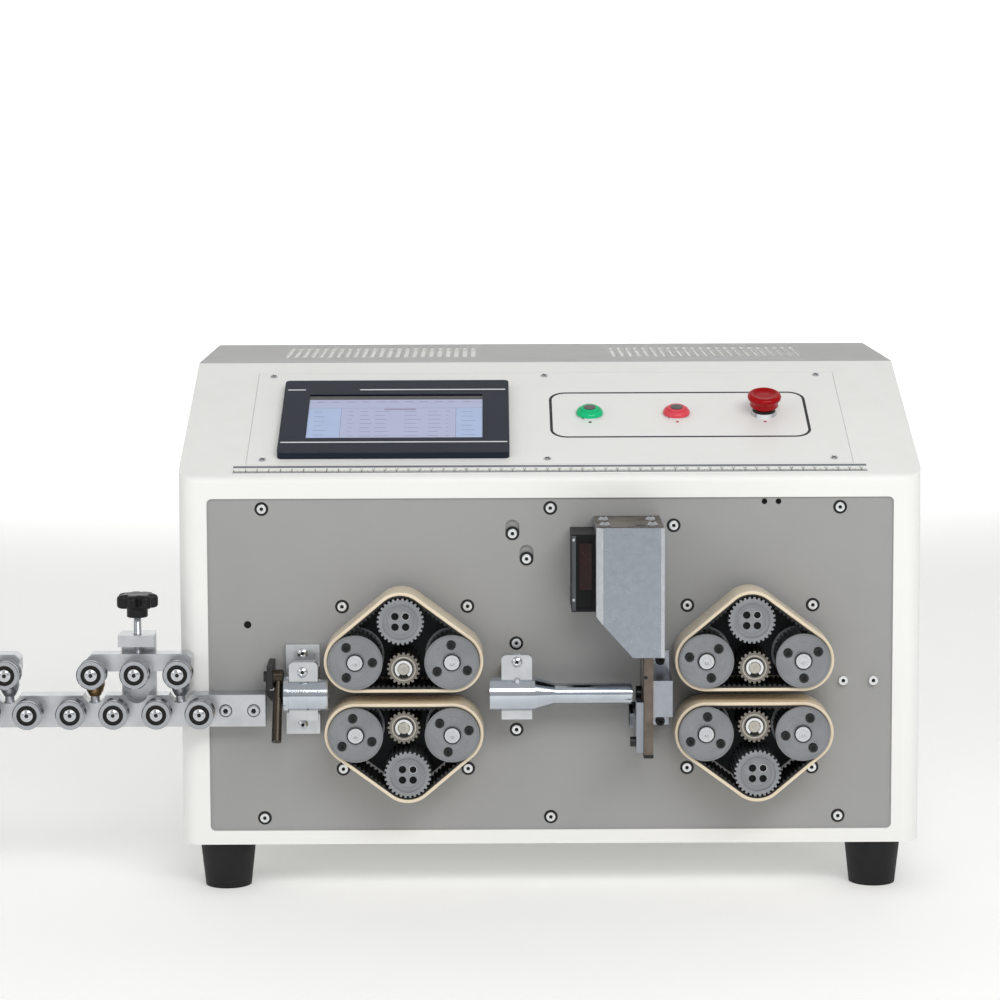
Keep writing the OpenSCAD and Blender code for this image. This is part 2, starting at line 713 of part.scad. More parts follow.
// Collar and threaded body of a button, with a stepped bore for its moving part
module button_collar(bore, top) {
    difference() {
        union() {
            cylinder(d1 = collar_d, d2 = collar_d - 2, h = top);
            translate([0, 0, -button_body_len]) cylinder(d = button_body_d, h = button_body_len + eps);
        }
        translate([0, 0, -button_body_len + 10]) cylinder(d = bore + 2 * button_gap, h = button_body_len + top);
    }
}

module button_collars() {
    color("#b9bcc0") on_slope() {
        for (x = [start_x, stop_x]) translate([x, button_v, 0]) button_collar(cap_d, collar_h);
        translate([estop_x, button_v, 0]) button_collar(cap_d, collar_h);
    }
}

module button_cap(x, shade) {
    color(shade) on_slope() translate([x, button_v, collar_h + cap_out]) rotate_extrude()
        polygon(round_poly([[0, -cap_out - collar_h - 12], [cap_d / 2, -cap_out - collar_h - 12],
                            [cap_d / 2, 0], [0, 0]], [0, 0, 1.2, 0]));
}

module start_button() {
    button_cap(start_x, "#1f9a5a");
}

module stop_button() {
    button_cap(stop_x, "#c0202a");
}

module emergency_stop() {
    z0 = collar_h + estop_gap;
    color("#c8101a") on_slope() translate([estop_x, button_v, 0]) rotate_extrude()
        polygon(round_poly([[0, -12], [cap_d / 2, -12], [cap_d / 2, z0 + 2], [estop_skirt_r - 1.2, z0 + 2],
                            [estop_skirt_r - 1.2, z0], [estop_skirt_r, z0], [estop_skirt_r, z0 + estop_skirt_h],
                            [estop_d / 2, z0 + estop_skirt_h + 1.5], [estop_d / 2, z0 + estop_h - 2],
                            [estop_d * 0.36, z0 + estop_h], [estop_d * 0.3, z0 + estop_h - 1.6],
                            [0, z0 + estop_h - 1.6]],
                           [0, 0, 0, 0, 0.3, 0.3, 1, 2.5, 3, 1, 1, 0]));
}

// Belt core with teeth on the free stretches, and its cover, for one feed unit
module belt_core(up) {
    c = unit_centres(up);
    margin = 10;
    front(belt_out, belt_end) union() {
        difference() {
            loop_area(c, [for (r = loop_r) r + core_t]);
            loop_area(c, loop_r);
        }
        for (i = [0:2]) {
            k = (i + 1) % 3;
            n = tangent(c[i], loop_r[i], c[k], loop_r[k]);
            a = c[i] + loop_r[i] * n;
            b = c[k] + loop_r[k] * n;
            span = norm(b - a) - 2 * margin;
            count = floor(span / belt_pitch);
            for (j = [0:count])
                translate(a + unit(b - a) * (margin + (span - count * belt_pitch) / 2 + j * belt_pitch))
                    rotate(atan2(n.y, n.x) + 90)
                        polygon([[-1.3, -core_t / 2], [1.3, -core_t / 2], [0.8, belt_tooth_h], [-0.8, belt_tooth_h]]);
        }
    }
}

module belt_cover(up) {
    c = unit_centres(up);
    front(belt_out, belt_end) difference() {
        loop_area(c, [for (r = loop_r) r + core_t + cover_t]);
        loop_area(c, [for (r = loop_r) r + core_t + seat_gap]);
    }
}

module belts(up) {
    for (u = [infeed_x, outfeed_x]) translate([u, 0, wire_z]) {
        color("#202020") belt_core(up);
        color("#d9c4a5") belt_cover(up);
    }
}

// Plate inside the loop, guide block, beam behind the panel and axle pins of both feed units
module feed_frame(up) {
    c = unit_centres(up);
    z = up ? 1 : -1;
    beam_p1 = -panel_t - slide_gap;
    beam_h = 2 * (tension_rise - 6);
    pin_end = belt_end - 3;
    color("#26282a") difference() {
        union() {
            for (u = [infeed_x, outfeed_x]) translate([u, 0, wire_z]) {
                front(slide_gap, slide_gap + frame_t) loop_area(c, [for (r = loop_r) r - 2]);
                front(beam_p1, slide_gap + 1) translate([0, z * block_z]) square([block_w, block_h], center = true);
                front(beam_p1 - beam_t, beam_p1)
                    translate([0, z * (flange_h + beam_h / 2 - shaft_d)])
                        square([flange_span + 2 * shaft_d, beam_h], center = true);
                front(slide_gap, pin_end) translate(c[2]) circle(d = pin_d);
                front(slide_gap, belt_end + 1.5) translate([0, z * support_h]) circle(d = pin_d);
                front(belt_end + 0.4, belt_end + 1.4) translate([0, z * support_h]) circle(d = pin_d + 5);
            }
            translate([(infeed_x + outfeed_x) / 2, 0, wire_z]) front(beam_p1 - beam_t, beam_p1)
                translate([0, z * (flange_h + tension_rise - 13)])
                    square([outfeed_x - infeed_x, block_h], center = true);
        }
        for (u = [infeed_x, outfeed_x], i = [0, 1]) translate([u, 0, wire_z])
            front(beam_p1 - beam_t - 1, slide_gap + frame_t + 1) translate(c[i])
                circle(d = shaft_d + 2 * run_gap);
    }
}

module upper_feed_frame() {
    feed_frame(true);
}

module lower_feed_frame() {
    feed_frame(false);
}

module upper_belts() {
    belts(true);
}

module lower_belts() {
    belts(false);
}

module flanged_pulley(turn) {
    rear_p = slide_gap + frame_t + slide_gap;
    color("#8e9093") difference() {
        union() {
            front(belt_out - 1, belt_end + slide_gap + eps) polygon(toothed(flange_tip_r, tooth_h, flange_teeth));
            front(rear_p, belt_out - slide_gap) circle(flange_r);
            front(belt_end + slide_gap, belt_end + slide_gap + flange_t) circle(flange_r);
            front(-panel_t - beam_t, belt_end + slide_gap + flange_t + shaft_out) circle(d = shaft_d);
        }
        for (i = [0:2]) rotate([0, i * 120 + turn, 0])
            front(belt_end + slide_gap + flange_t - flange_sink, belt_end + flange_t + 2)
                translate([0, flange_screw_r]) circle(d = flange_screw_d);
        translate([0, panel_inset - belt_end - slide_gap - flange_t - shaft_out - eps, 0]) rotate([-90, 0, 0])
            cylinder(d1 = 4, d2 = 1, h = 2);
    }
}

module tension_pulley() {
    rear_p = slide_gap + frame_t + slide_gap;
    face_p = belt_end + 1;
    groove_r = tension_tip_r * 0.67;
    groove_w = 2;
    groove_depth = 1.2;
    color("#9a9b9d") difference() {
        front(rear_p, face_p) polygon(toothed(tension_tip_r, tooth_h, tension_teeth));
        front(face_p - groove_depth, face_p + 1) difference() {
            circle(groove_r + groove_w);
            circle(groove_r);
        }
        front(rear_p - 1, belt_end - 3 + slide_gap) circle(d = pin_d + 2 * run_gap);
        for (i = [0:3]) rotate([0, i * 90 + 45, 0]) front(face_p - 3, face_p + 1) translate([0, hub_hole_r])
            circle(d = hub_hole_d);
    }
}

module support_pulley() {
    rear_p = slide_gap + frame_t + slide_gap;
    color("#b0aca4") difference() {
        front(rear_p, belt_end) polygon(toothed(support_tip_r, tooth_h, support_teeth));
        front(rear_p - 1, belt_end + 1) circle(d = pin_d + 2 * run_gap);
    }
}

// One pulley of a feed unit, w counting left, right, tension and support
module pulley(u, up, w) {
    c = unit_centres(up);
    left = up ? 0 : 1;
    spot = w == 0 ? c[left] : w == 1 ? c[1 - left] : w == 2 ? c[2] : [0, (up ? 1 : -1) * support_h];
    translate([u + spot.x, 0, wire_z + spot.y])
        if (w < 2) flanged_pulley(flange_turns[u < 0 ? 0 : 1][up ? 0 : 1][w]);
        else if (w == 2) tension_pulley();
        else support_pulley();
}

module guide_tubes() {
    color("#b8c0c8") along_wire() polygon([[guide_bore / 2, inlet_x0], [inlet_rim_d / 2, inlet_x0],
        [inlet_rim_d / 2, inlet_x0 + inlet_rim_len], [inlet_d / 2, inlet_x0 + inlet_rim_len],
        [inlet_d / 2, tube_groove_x], [inlet_d / 2 - tube_groove, tube_groove_x],
        [inlet_d / 2 - tube_groove, tube_groove_x + 2 * tube_groove], [inlet_d / 2, tube_groove_x + 2 * tube_groove],
        [inlet_d / 2, inlet_x1 - tube_groove], [inlet_d / 2 - tube_groove, inlet_x1], [guide_bore / 2, inlet_x1]]);
    color("#b8c0c8") along_wire() polygon([[guide_bore / 2, guide_x0], [guide_d / 2, guide_x0],
        [guide_d / 2, guide_x1], [pipe_d / 2, guide_x2], [pipe_d / 2, guide_x3],
        [pipe_d / 2 - 1.5, guide_x3], [pipe_d / 2 - 1.5, guide_x3 + 1],
        [guide_bore / 2, guide_x3 + 1]]);
}

// Clamp from x0 to x1 that holds a tube of diameter d against the panel, with a front flange up to height top
module clamp(x0, x1, d, top) {
    reach = wire_out + clamp_reach;
    flange = [[x0, wire_z], [x1, wire_z], [x1, wire_z + top], [x0, wire_z + top]];
    difference() {
        union() {
            front(0, reach) translate([x0, wire_z - clamp_h / 2]) square([x1 - x0, clamp_h]);
            front(reach - clamp_flange_t, reach) polygon(round_poly(flange, [0, 0, clamp_flange_r, clamp_flange_r]));
        }
        translate([x0 - 1, panel_inset - wire_out, wire_z]) rotate([0, 90, 0])
            cylinder(d = d + 2 * seat_gap, h = x1 - x0 + 2);
        front(wire_out, reach + 1) translate([x0 - 1, wire_z - clamp_mouth / 2]) square([x1 - x0 + 2, clamp_mouth]);
        front(wire_out - 12, reach - 5) translate([x0 - 1, wire_z - clamp_h / 2]) square([x1 - x0 + 2, 4]);
    }
}

module tube_clamps() {
    x0 = inlet_x0 + inlet_rim_len + 0.5;
    x1 = inlet_x1 - 9;
    color("#b9bec4") union() {
        clamp(x0, x1, inlet_d, inlet_flange_h);
        front(0, inlet_foot_t) translate([inlet_x0, wire_z - inlet_foot_h / 2])
            square([x1 - inlet_x0, inlet_foot_h]);
    }
    color("#b9bec4") clamp(guide_x0 + 10, guide_x0 + 10 + clamp_w, guide_d, guide_flange_h);
    color("#1a1a1a") lever_bracket();
}

lever_y = panel_inset - wire_out;
lever_z = wire_z + lever_rise;
lever_hub_w = 8;
bracket_w = 5;
bracket_t = 3;
bracket_face = wire_out - lever_pin_d / 2 - 3 - 0.6;
bracket_x = lever_x - lever_hub_w / 2 - bracket_w - blade_gap;

// Black bracket with the lever's pivot pin
module lever_bracket() {
    plate_x0 = bracket_x - 2;
    plate_x1 = inlet_x0 - 0.7;
    difference() {
        front(0, wire_out + 8) translate([bracket_x, lever_z - 10]) square([bracket_w, 20]);
        front(12, wire_out - 9) translate([bracket_x - 1, lever_z - 11]) square([bracket_w + 2, 8]);
    }
    front(bracket_face - bracket_t, bracket_face) polygon(round_poly(
        [[plate_x0, lever_z - 17], [plate_x0 + 7, lever_z - 25], [plate_x1, lever_z - 25],
         [plate_x1, lever_z + 3.5], [plate_x0 + 5.5, lever_z + 3.5], [plate_x0 + 5.5, lever_z - 2],
         [plate_x0, lever_z - 2]], [0.5, 0.5, 0.5, 0.5, 1.5, 0.3, 1.5], 4));
    translate([bracket_x - 3, lever_y, lever_z]) rotate([0, 90, 0]) union() {
        cylinder(d = lever_pin_d + 3, h = 3 + eps);
        cylinder(d = lever_pin_d, h = 3 + bracket_w + blade_gap + lever_hub_w);
    }
}

module inlet_lever() {
    color("#4a443c") difference() {
        translate([lever_x, lever_y, lever_z]) union() {
            translate([-lever_hub_w / 2, 0, 0]) rotate([0, 90, 0]) cylinder(d = lever_pin_d + 6, h = lever_hub_w);
            rotate([180 - lever_lean, 0, 0]) {
                cylinder(d = grip_d - 2, h = lever_len / 2);
                translate([0, 0, lever_len * 0.35]) cylinder(d = grip_d, h = lever_len * 0.65);
            }
        }
        translate([lever_x - lever_hub_w, lever_y, lever_z]) rotate([0, 90, 0])
            cylinder(d = lever_pin_d + 2 * run_gap, h = 2 * lever_hub_w);
    }
}

module cutter_cover() {
    x0 = cover_x - cover_w;
    z0 = foot_h + cover_z;
    outline = [[x0 + cover_cut_w, z0], [cover_x, z0], [cover_x, z0 + cover_h], [x0, z0 + cover_h],
               [x0, z0 + cover_cut_h]];
    color("#8f96a0") difference() {
        front(0, cover_out) polygon(outline);
        front(-1, cover_out - cover_wall) polygon(inset(outline, cover_wall));
        front(-1, cover_out - cover_wall) translate([x0 + cover_cut_w + cover_wall, z0 - 1])
            square([cover_w - cover_cut_w - 2 * cover_wall, cover_wall + 2]);
        translate([x0, panel_inset - cover_out, z0 - 1]) rotate([0, 0, 45])
            cube([cover_bevel * sqrt(2), cover_bevel * sqrt(2), 2 * cover_h + 4], center = true);
        translate([cover_x - 20, panel_inset - cover_out + 12, z0 + cover_h - cover_wall - 1])
            cube([6, 2, cover_wall + 2]);
    }
}

module sensor_box() {
    x1 = cover_x - cover_w;
    z0 = foot_h + sensor_z;
    rim = 3;
    color("#141414") difference() {
        front(0, sensor_out) translate([x1 - sensor_w, z0]) square([sensor_w, sensor_h]);
        front(sensor_out - rim, sensor_out + 1) translate([x1 - sensor_w + rim, z0 + rim])
            square([sensor_w - 2 * rim, sensor_h - 2 * rim]);
    }
    in = rim + seat_gap;
    color("#4a0a08") front(sensor_out - in + 2 * seat_gap, sensor_out - rim / 3)
        translate([x1 - sensor_w + in, z0 + in]) square([sensor_w - 2 * in, sensor_h - 2 * in]);
}

module blade_rail() {
    x1 = rail_x + rail_w + seat_gap;
    color("#7a6f66") difference() {
        front(0, rail_out) translate([rail_x, foot_h + rail_z0]) square([rail_w, rail_z1 - rail_z0]);
        front(wire_out - blade_w / 2 - blade_gap, wire_out + blade_w / 2 + blade_gap)
            translate([rail_x - 1, foot_h + rail_z0 - 1]) square([blade_slot + 1, rail_z1 - rail_z0 + 2]);
        translate([rail_x - 1, panel_inset - wire_out, wire_z]) rotate([0, 90, 0])
            cylinder(d = guide_bore, h = rail_w + 2);
    }
    color("#b4b8bf") difference() {
        union() {
            front(0, outlet_out) translate([x1, wire_z - outlet_h / 2]) square([outlet_w, outlet_h]);
            front(0, outlet_foot_t) translate([x1, wire_z - outlet_foot_h / 2]) square([outlet_w, outlet_foot_h]);
        }
        translate([x1 - 1, panel_inset - wire_out, wire_z]) rotate([0, 90, 0])
            cylinder(d = guide_bore, h = outlet_w + 2);
    }
}

// Arm that carries a blade carriage through the panel to its guide rod
module carriage_arm(z, p1) {
    boss = 8;
    y0 = panel_inset - p1;
    translate([carriage_x, y0, z]) cube([carriage_w, rod_y - boss - y0 + 1, arm_h]);
    translate([rod_x - boss, rod_y - boss, z]) cube([2 * boss, 2 * boss, arm_h]);
}

// Blade with a V notch whose edge starts at z and points along dir
module blade(z0, z1, dir) {
    edge = dir > 0 ? z1 : z0;
    difference() {
        front(wire_out - blade_w / 2, wire_out + blade_w / 2) translate([rail_x - blade_gap, z0])
            square([blade_slot, z1 - z0]);
        translate([rail_x - blade_gap - 1, panel_inset - wire_out, edge]) rotate([45, 0, 0])
            cube([3 * blade_slot, 5, 5], center = true);
    }
}

module upper_blade_carriage() {
    z0 = wire_z + carriage_rise;
    color("#9aa0a6") difference() {
        union() {
            front(carriage_p0, carriage_p1) translate([carriage_x, z0])
                square([carriage_w, upper_arm_z + arm_h - z0]);
            carriage_arm(upper_arm_z, carriage_p0 + 1);
            blade(wire_z + blade_open, upper_arm_z + arm_h, -1);
        }
        translate([rod_x, rod_y, upper_arm_z - 1]) cylinder(d = rod_d + 2 * run_gap, h = arm_h + 2);
    }
}

module lower_blade_carriage() {
    z0 = foot_h + rail_z0 + 1;
    plate_x = rail_x - blade_gap - carriage_plate_t;
    plate_p0 = carriage_p0 - 2;
    color("#9aa0a6") difference() {
        union() {
            difference() {
                front(plate_p0, rail_out - 4) translate([plate_x, z0]) square([carriage_plate_t, wire_z - 1 - z0]);
                front(0, wire_out + blade_w / 2 + 1) translate([plate_x - 1, wire_z - carriage_notch_h])
                    square([carriage_plate_t + 2, 2 * carriage_notch_h]);
            }
            carriage_arm(lower_arm_z, plate_p0 + 1);
            blade(z0, wire_z - blade_open, 1);
            translate([plate_x - clamp_knob_h, panel_inset - rail_out + 12, z0 + 8]) rotate([0, 90, 0])
                cylinder(d = clamp_knob_d, h = clamp_knob_h + eps);
        }
        translate([rod_x, rod_y, lower_arm_z - 1]) cylinder(d = rod_d + 2 * run_gap, h = arm_h + 2);
    }
}

// Sideways places of the lower rollers, and of the upper rollers of group g
function lower_x(i) = bar_x1 - roller_inset - i * roller_pitch;
function upper_x(g, i) = lower_x(0) - (i + 0.5 + 4 * g) * roller_pitch;
function group_x(g) = upper_x(g, 1);

module roller_axle(x, z) {
    translate([x, 0, z]) {
        front(bar_p1 - 1, roller_p1 - 2.2) circle(d = axle_d);
        front(roller_p1 - 2.2 - eps, roller_p1) difference() {
            circle(d = axle_head_d);
            circle(d = axle_head_d * 0.5, $fn = 6);
        }
    }
}

module straightener_bar() {
    notch_r = 10;
    notch_z = bar_z + bar_h / 2 + 3;
    color("#b7bbc0") union() {
        difference() {
            front(bar_p0, bar_p1) translate([bar_x0, bar_z - bar_h / 2]) square([bar_len, bar_h]);
            for (g = [0, 1], i = [0:2]) front(bar_p0 - 1, bar_p1 + 1) translate([upper_x(g, i), notch_z])
                circle(notch_r);
            for (g = [0, 1], i = [0, 2])
                translate([upper_x(g, i), panel_inset - (bar_p0 + bar_p1) / 2, notch_z - notch_r - post_depth])
                    cylinder(d = post_d + 2 * run_gap, h = post_depth + notch_r);
        }
        front(0, bar_p0 + eps) translate([bar_x1 - bar_foot_w, bar_z - bar_h / 2]) square([bar_foot_w, bar_h]);
        for (i = [0:lower_n - 1]) roller_axle(lower_x(i), bar_z);
    }
    for (g = [0, 1]) color("#aeb3b8") yoke(group_x(g));
}

// Stem behind the bar with the cross block that holds a pressure screw
module yoke(x) {
    stem_z0 = bar_z - bar_h / 2;
    mid_y = panel_inset - (bar_p0 + bar_p1) / 2;
    difference() {
        union() {
            front(bar_p0 - yoke_t, bar_p0 - seat_gap) translate([x - yoke_w / 2, stem_z0])
                square([yoke_w, yoke_z + yoke_block_h - stem_z0]);
            front(bar_p0 - 1, bar_p1) translate([x - yoke_w / 2 - 1, yoke_z]) square([yoke_w + 2, yoke_block_h]);
        }
        translate([x, mid_y, yoke_z - 1]) cylinder(d = press_screw_d + 2 * run_gap, h = yoke_block_h + 2);
    }
}

module pressure_plate(g) {
    x0 = upper_x(g, 2) - press_over;
    x1 = upper_x(g, 0) + press_over;
    mid_y = panel_inset - (bar_p0 + bar_p1) / 2;
    cut = 9;
    color("#b7bbc0") difference() {
        union() {
            front(press_p0, bar_p1) union() {
                polygon([[x0, press_z], [x1, press_z], [x1, press_z + press_h - 4], [x1 - 4, press_z + press_h],
                         [x0 + cut, press_z + press_h], [x0, press_z + press_h - cut]]);
                for (i = [0:2]) translate([upper_x(g, i), press_z]) circle(r = 8.5);
            }
            for (i = [0:2]) roller_axle(upper_x(g, i), press_z);
            for (i = [0, 2]) translate([upper_x(g, i), mid_y, bar_z + bar_h / 2 - 15])
                cylinder(d = post_d, h = press_z - bar_z - bar_h / 2 + 15);
        }
        translate([group_x(g), mid_y, press_z + press_h - 5]) cylinder(d = press_screw_d + 2 * run_gap, h = 6);
    }
}

module knob(g) {
    mid_y = panel_inset - (bar_p0 + bar_p1) / 2;
    z0 = yoke_z + yoke_block_h + press_screw_len;
    lobe_r = knob_d * 0.16;
    color("#121212") translate([group_x(g), mid_y, 0]) union() {
        translate([0, 0, press_z + press_h - 4.6]) cylinder(d = press_screw_d, h = z0 - press_z - press_h + 5);
        translate([0, 0, z0 - 8]) cylinder(d = knob_d / 2, h = 8 + eps);
        translate([0, 0, z0]) linear_extrude(knob_h) union() {
            circle(d = knob_d - 2 * lobe_r);
            for (i = [0:knob_lobes - 1]) rotate(i * 360 / knob_lobes) translate([knob_d / 2 - lobe_r, 0])
                circle(lobe_r);
        }
    }
}

// Grooved roller on its axle at x and z
module roller(x, z) {
    rim = 3;
    round_off = 0.8;
    seal_w = 3.8;
    seal_sink = 2.6;
    color("#c4c7ca") translate([x, panel_inset - roller_p0, z]) rotate([90, 0, 0]) rotate_extrude()
        polygon([[axle_d / 2 + run_gap, 0], [roller_r, 0], [roller_r, rim], [roller_r - groove_h, rim + groove_h],
                 [roller_r - groove_h, roller_w - rim - groove_h], [roller_r, roller_w - rim],
                 [roller_r, roller_w - round_off], [roller_r - round_off, roller_w],
                 [roller_r - seal_w, roller_w], [roller_r - seal_w, roller_w - seal_sink],
                 [axle_d / 2 + run_gap, roller_w - seal_sink]]);
}

// Motors, guide rod, power supply, control board and mains inlet inside the cabinet
module inner_modules() {
    floor_z = foot_h + pan_t;
    motor = [86, 100, 86];
    motor_y = 70;
    shaft_len = 14;
    supply = [115, 120, 50];
    supply_at = [-260, 280];
    board = [180, 130, 1.6];
    board_at = [0, 260];
    board_lift = 10;
    post_inset = 8;
    for (x = [infeed_x, outfeed_x]) color("#2c2c2e") translate([x - motor.x / 2, motor_y, floor_z]) union() {
        cube(motor);
        translate([motor.x / 2, -shaft_len, motor.z / 2]) rotate([-90, 0, 0])
            cylinder(d = shaft_d, h = shaft_len + 1);
    }
    color("#9a9da0") translate([rod_x, rod_y, floor_z])
        cylinder(d = rod_d, h = upper_arm_z + 2 * arm_h - floor_z);
    color("#c0c4c8") translate([supply_at.x, supply_at.y, floor_z]) cube(supply);
    color("#1f5c3a") translate([board_at.x, board_at.y, floor_z]) union() {
        translate([0, 0, board_lift]) cube(board);
        for (x = [post_inset, board.x - post_inset], y = [post_inset, board.y - post_inset])
            translate([x, y, 0]) cylinder(d = post_inset, h = board_lift + eps);
        translate([30, 30, board_lift + 1]) cube([60, 40, 14]);
        translate([110, 25, board_lift + 1]) cube([50, 80, 20]);
    }
    color("#161616") translate([socket_x, back_y, socket_z]) rotate([90, 0, 0]) difference() {
        union() {
            linear_extrude(socket_rim_t) square([socket_w + 8, socket_h + 8], center = true);
            translate([0, 0, socket_rim_t / 2]) linear_extrude(30)
                square([socket_w - 2 * shell_gap, socket_h - 2 * shell_gap], center = true);
        }
        translate([0, -10, -1]) linear_extrude(18) square([24, 16], center = true);
    }
}

place() cabinet_shell();
place() base_pan();
place() feet();
place() front_panel();
place() control_plate();
place() ruler();
place() touch_screen();
place() button_collars();
place() cutter_cover();
place() sensor_box();
place() blade_rail();
place() guide_tubes();
place() tube_clamps();
place() straightener_bar();
place() panel_screws();
place() inner_modules();
place() upper_feed_frame();
place() lower_feed_frame();
place() upper_belts();
place() lower_belts();
place() pressure_plate(0);  // inner_pressure_plate
place() pressure_plate(1);  // outer_pressure_plate
place() knob(0);  // inner_knob
place() knob(1);  // outer_knob
place() upper_blade_carriage();
place() lower_blade_carriage();
place() start_button();
place() stop_button();
place() emergency_stop();
place() inlet_lever();
for (u = [0, 1], s = [0, 1], w = [0:3])
    place() pulley(u == 0 ? infeed_x : outfeed_x, s == 0, w);
for (i = [0:lower_n - 1])
    place() roller(lower_x(i), bar_z);
for (g = [0, 1], i = [0:2])
    place() roller(upper_x(g, i), press_z);
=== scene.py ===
"""Dresses a bench wire cutting and stripping machine: finishes for its solids, and small pieces on them."""

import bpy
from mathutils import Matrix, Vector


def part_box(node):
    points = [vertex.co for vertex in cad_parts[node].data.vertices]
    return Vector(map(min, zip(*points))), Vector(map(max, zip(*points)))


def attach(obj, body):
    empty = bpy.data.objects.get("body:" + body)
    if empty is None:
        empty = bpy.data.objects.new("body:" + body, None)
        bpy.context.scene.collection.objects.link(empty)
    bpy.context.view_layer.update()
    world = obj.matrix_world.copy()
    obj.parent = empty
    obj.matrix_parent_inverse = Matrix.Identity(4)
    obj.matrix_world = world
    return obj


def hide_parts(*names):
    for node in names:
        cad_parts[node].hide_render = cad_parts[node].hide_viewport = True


bl_info = {
    "name": "Wire cutting and stripping machine",
    "version": (1, 0, 0),
    "blender": (4, 5, 0),
    "location": "3D View > Sidebar > Wire machine",
    "description": "Finishes and detail pieces of a bench wire cutting and stripping machine",
    "category": "Object",
}

import bmesh
import bpy
import numpy as np
from bpy.props import FloatProperty, FloatVectorProperty, IntProperty, PointerProperty
from mathutils import Matrix, Vector

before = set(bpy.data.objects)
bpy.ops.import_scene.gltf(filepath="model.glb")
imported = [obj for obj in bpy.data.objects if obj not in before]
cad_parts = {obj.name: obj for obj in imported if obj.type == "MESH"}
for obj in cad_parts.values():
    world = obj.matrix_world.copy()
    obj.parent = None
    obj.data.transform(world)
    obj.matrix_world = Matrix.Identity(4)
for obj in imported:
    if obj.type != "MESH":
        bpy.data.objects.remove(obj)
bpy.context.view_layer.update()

# Places in the machine's millimetres: x from the cabinet's centre, y back from its face, z from the bench
MM = 0.001
SHELL_LOW, SHELL_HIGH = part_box("cabinet_shell")
HOME = np.array([(SHELL_LOW.x + SHELL_HIGH.x) / 2, SHELL_LOW.y, 0.0])
PANEL_Y = 2.0
WIRE_Y = PANEL_Y - 30.0
WIRE_Z = 178.0
SLOPE_Z = 361.0
SLOPE_TILT = np.arctan2(81.5, 214.5)
UNITS = ("infeed", "outfeed")
SIDES = ("upper", "lower")

# Directions of a turned piece: its own x, y and z as rows
COS, SIN = np.cos(SLOPE_TILT), np.sin(SLOPE_TILT)
FRONT = np.array([[1, 0, 0], [0, 0, 1], [0, -1, 0]], float)
WIRE = np.array([[0, 1, 0], [0, 0, 1], [1, 0, 0]], float)
UP = np.eye(3)
SLOPE = np.array([[1, 0, 0], [0, COS, SIN], [0, -SIN, COS]], float)
SLANT = np.array([0.0, 0.0, SLOPE_Z])


def row(points):
    """Machine millimetres as metres of the frame: scaled, then moved to the cabinet's place."""
    return np.asarray(points, float) * MM + HOME


def hub(node):
    """Middle of a solid's box, in machine millimetres."""
    low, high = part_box(node)
    return (np.array((low + high) / 2) - HOME) / MM


def face(node):
    """Front of a solid's box, in machine millimetres along y."""
    return (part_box(node)[0].y - HOME[1]) / MM


def linear(code):
    """Linear colour of a #rrggbb code by the sRGB curve."""
    c = np.array([int(code[i : i + 2], 16) for i in (1, 3, 5)]) / 255
    return tuple(np.where(c <= 0.04045, c / 12.92, ((c + 0.055) / 1.055) ** 2.4))


# Surfaces


def quads(nu, nv, wrap_u=False, wrap_v=False):
    """Faces of a grid of nu by nv points, each joining a point with its next ones, wrapped if asked."""
    i = np.arange(nu if wrap_u else nu - 1)[:, None]
    j = np.arange(nv if wrap_v else nv - 1)[None, :]
    i2, j2 = (i + 1) % nu, (j + 1) % nv
    return np.stack([i * nv + j, i2 * nv + j, i2 * nv + j2, i * nv + j2], -1).reshape(-1, 4)


def turned(profile, steps=40, key=None):
    """Revolves (height, radius) points about z: x = r cos a, y = r sin a. Points in key follow a hexagon."""
    p = np.asarray(profile, float)
    a = np.arange(steps) * 2 * np.pi / steps
    r = np.repeat(p[:, 1:2], steps, 1)
    if key is not None:
        r[key] *= np.cos(np.pi / 6) / np.cos(a % (np.pi / 3) - np.pi / 6)
    grid = np.stack([r * np.cos(a), r * np.sin(a), np.repeat(p[:, :1], steps, 1)], -1)
    return grid.reshape(-1, 3), quads(len(p), steps, False, True)


def swept(path, normals, depth, offsets):
    """Carries a closed profile round a closed line: point = line + normal * offset, at its own depth."""
    n, m = offsets.shape
    flat = path[:, None, :] + normals[:, None, :] * offsets[:, :, None]
    grid = np.stack([flat[..., 0], np.broadcast_to(depth, (n, m)), flat[..., 1]], -1)
    return grid.reshape(-1, 3), quads(n, m, True, True)


def tiles(boxes):
    """Flat-sided blocks from rows of x0, y0, z0, x1, y1, z1: each corner takes one of two ends per axis."""
    b = np.asarray(boxes, float).reshape(-1, 2, 3)
    pick = np.array([[0, 0, 0], [1, 0, 0], [1, 1, 0], [0, 1, 0], [0, 0, 1], [1, 0, 1], [1, 1, 1], [0, 1, 1]])
    v = b[:, pick, np.arange(3)].reshape(-1, 3)
    one = np.array([[0, 3, 2, 1], [4, 5, 6, 7], [0, 1, 5, 4], [1, 2, 6, 5], [2, 3, 7, 6], [3, 0, 4, 7]])
    return v, (one[None] + 8 * np.arange(len(b))[:, None, None]).reshape(-1, 4)


def slab(outline, low, high):
    """Plate with a flat outline: rings at two heights, each drawn in to the middle to close the plate."""
    middle = np.broadcast_to(outline.mean(0), outline.shape)
    rings = [(middle, low), (outline, low), (outline, high), (middle, high)]
    grid = np.concatenate([np.column_stack([line, np.full(len(line), z)]) for line, z in rings])
    return grid, quads(4, len(outline), False, True)


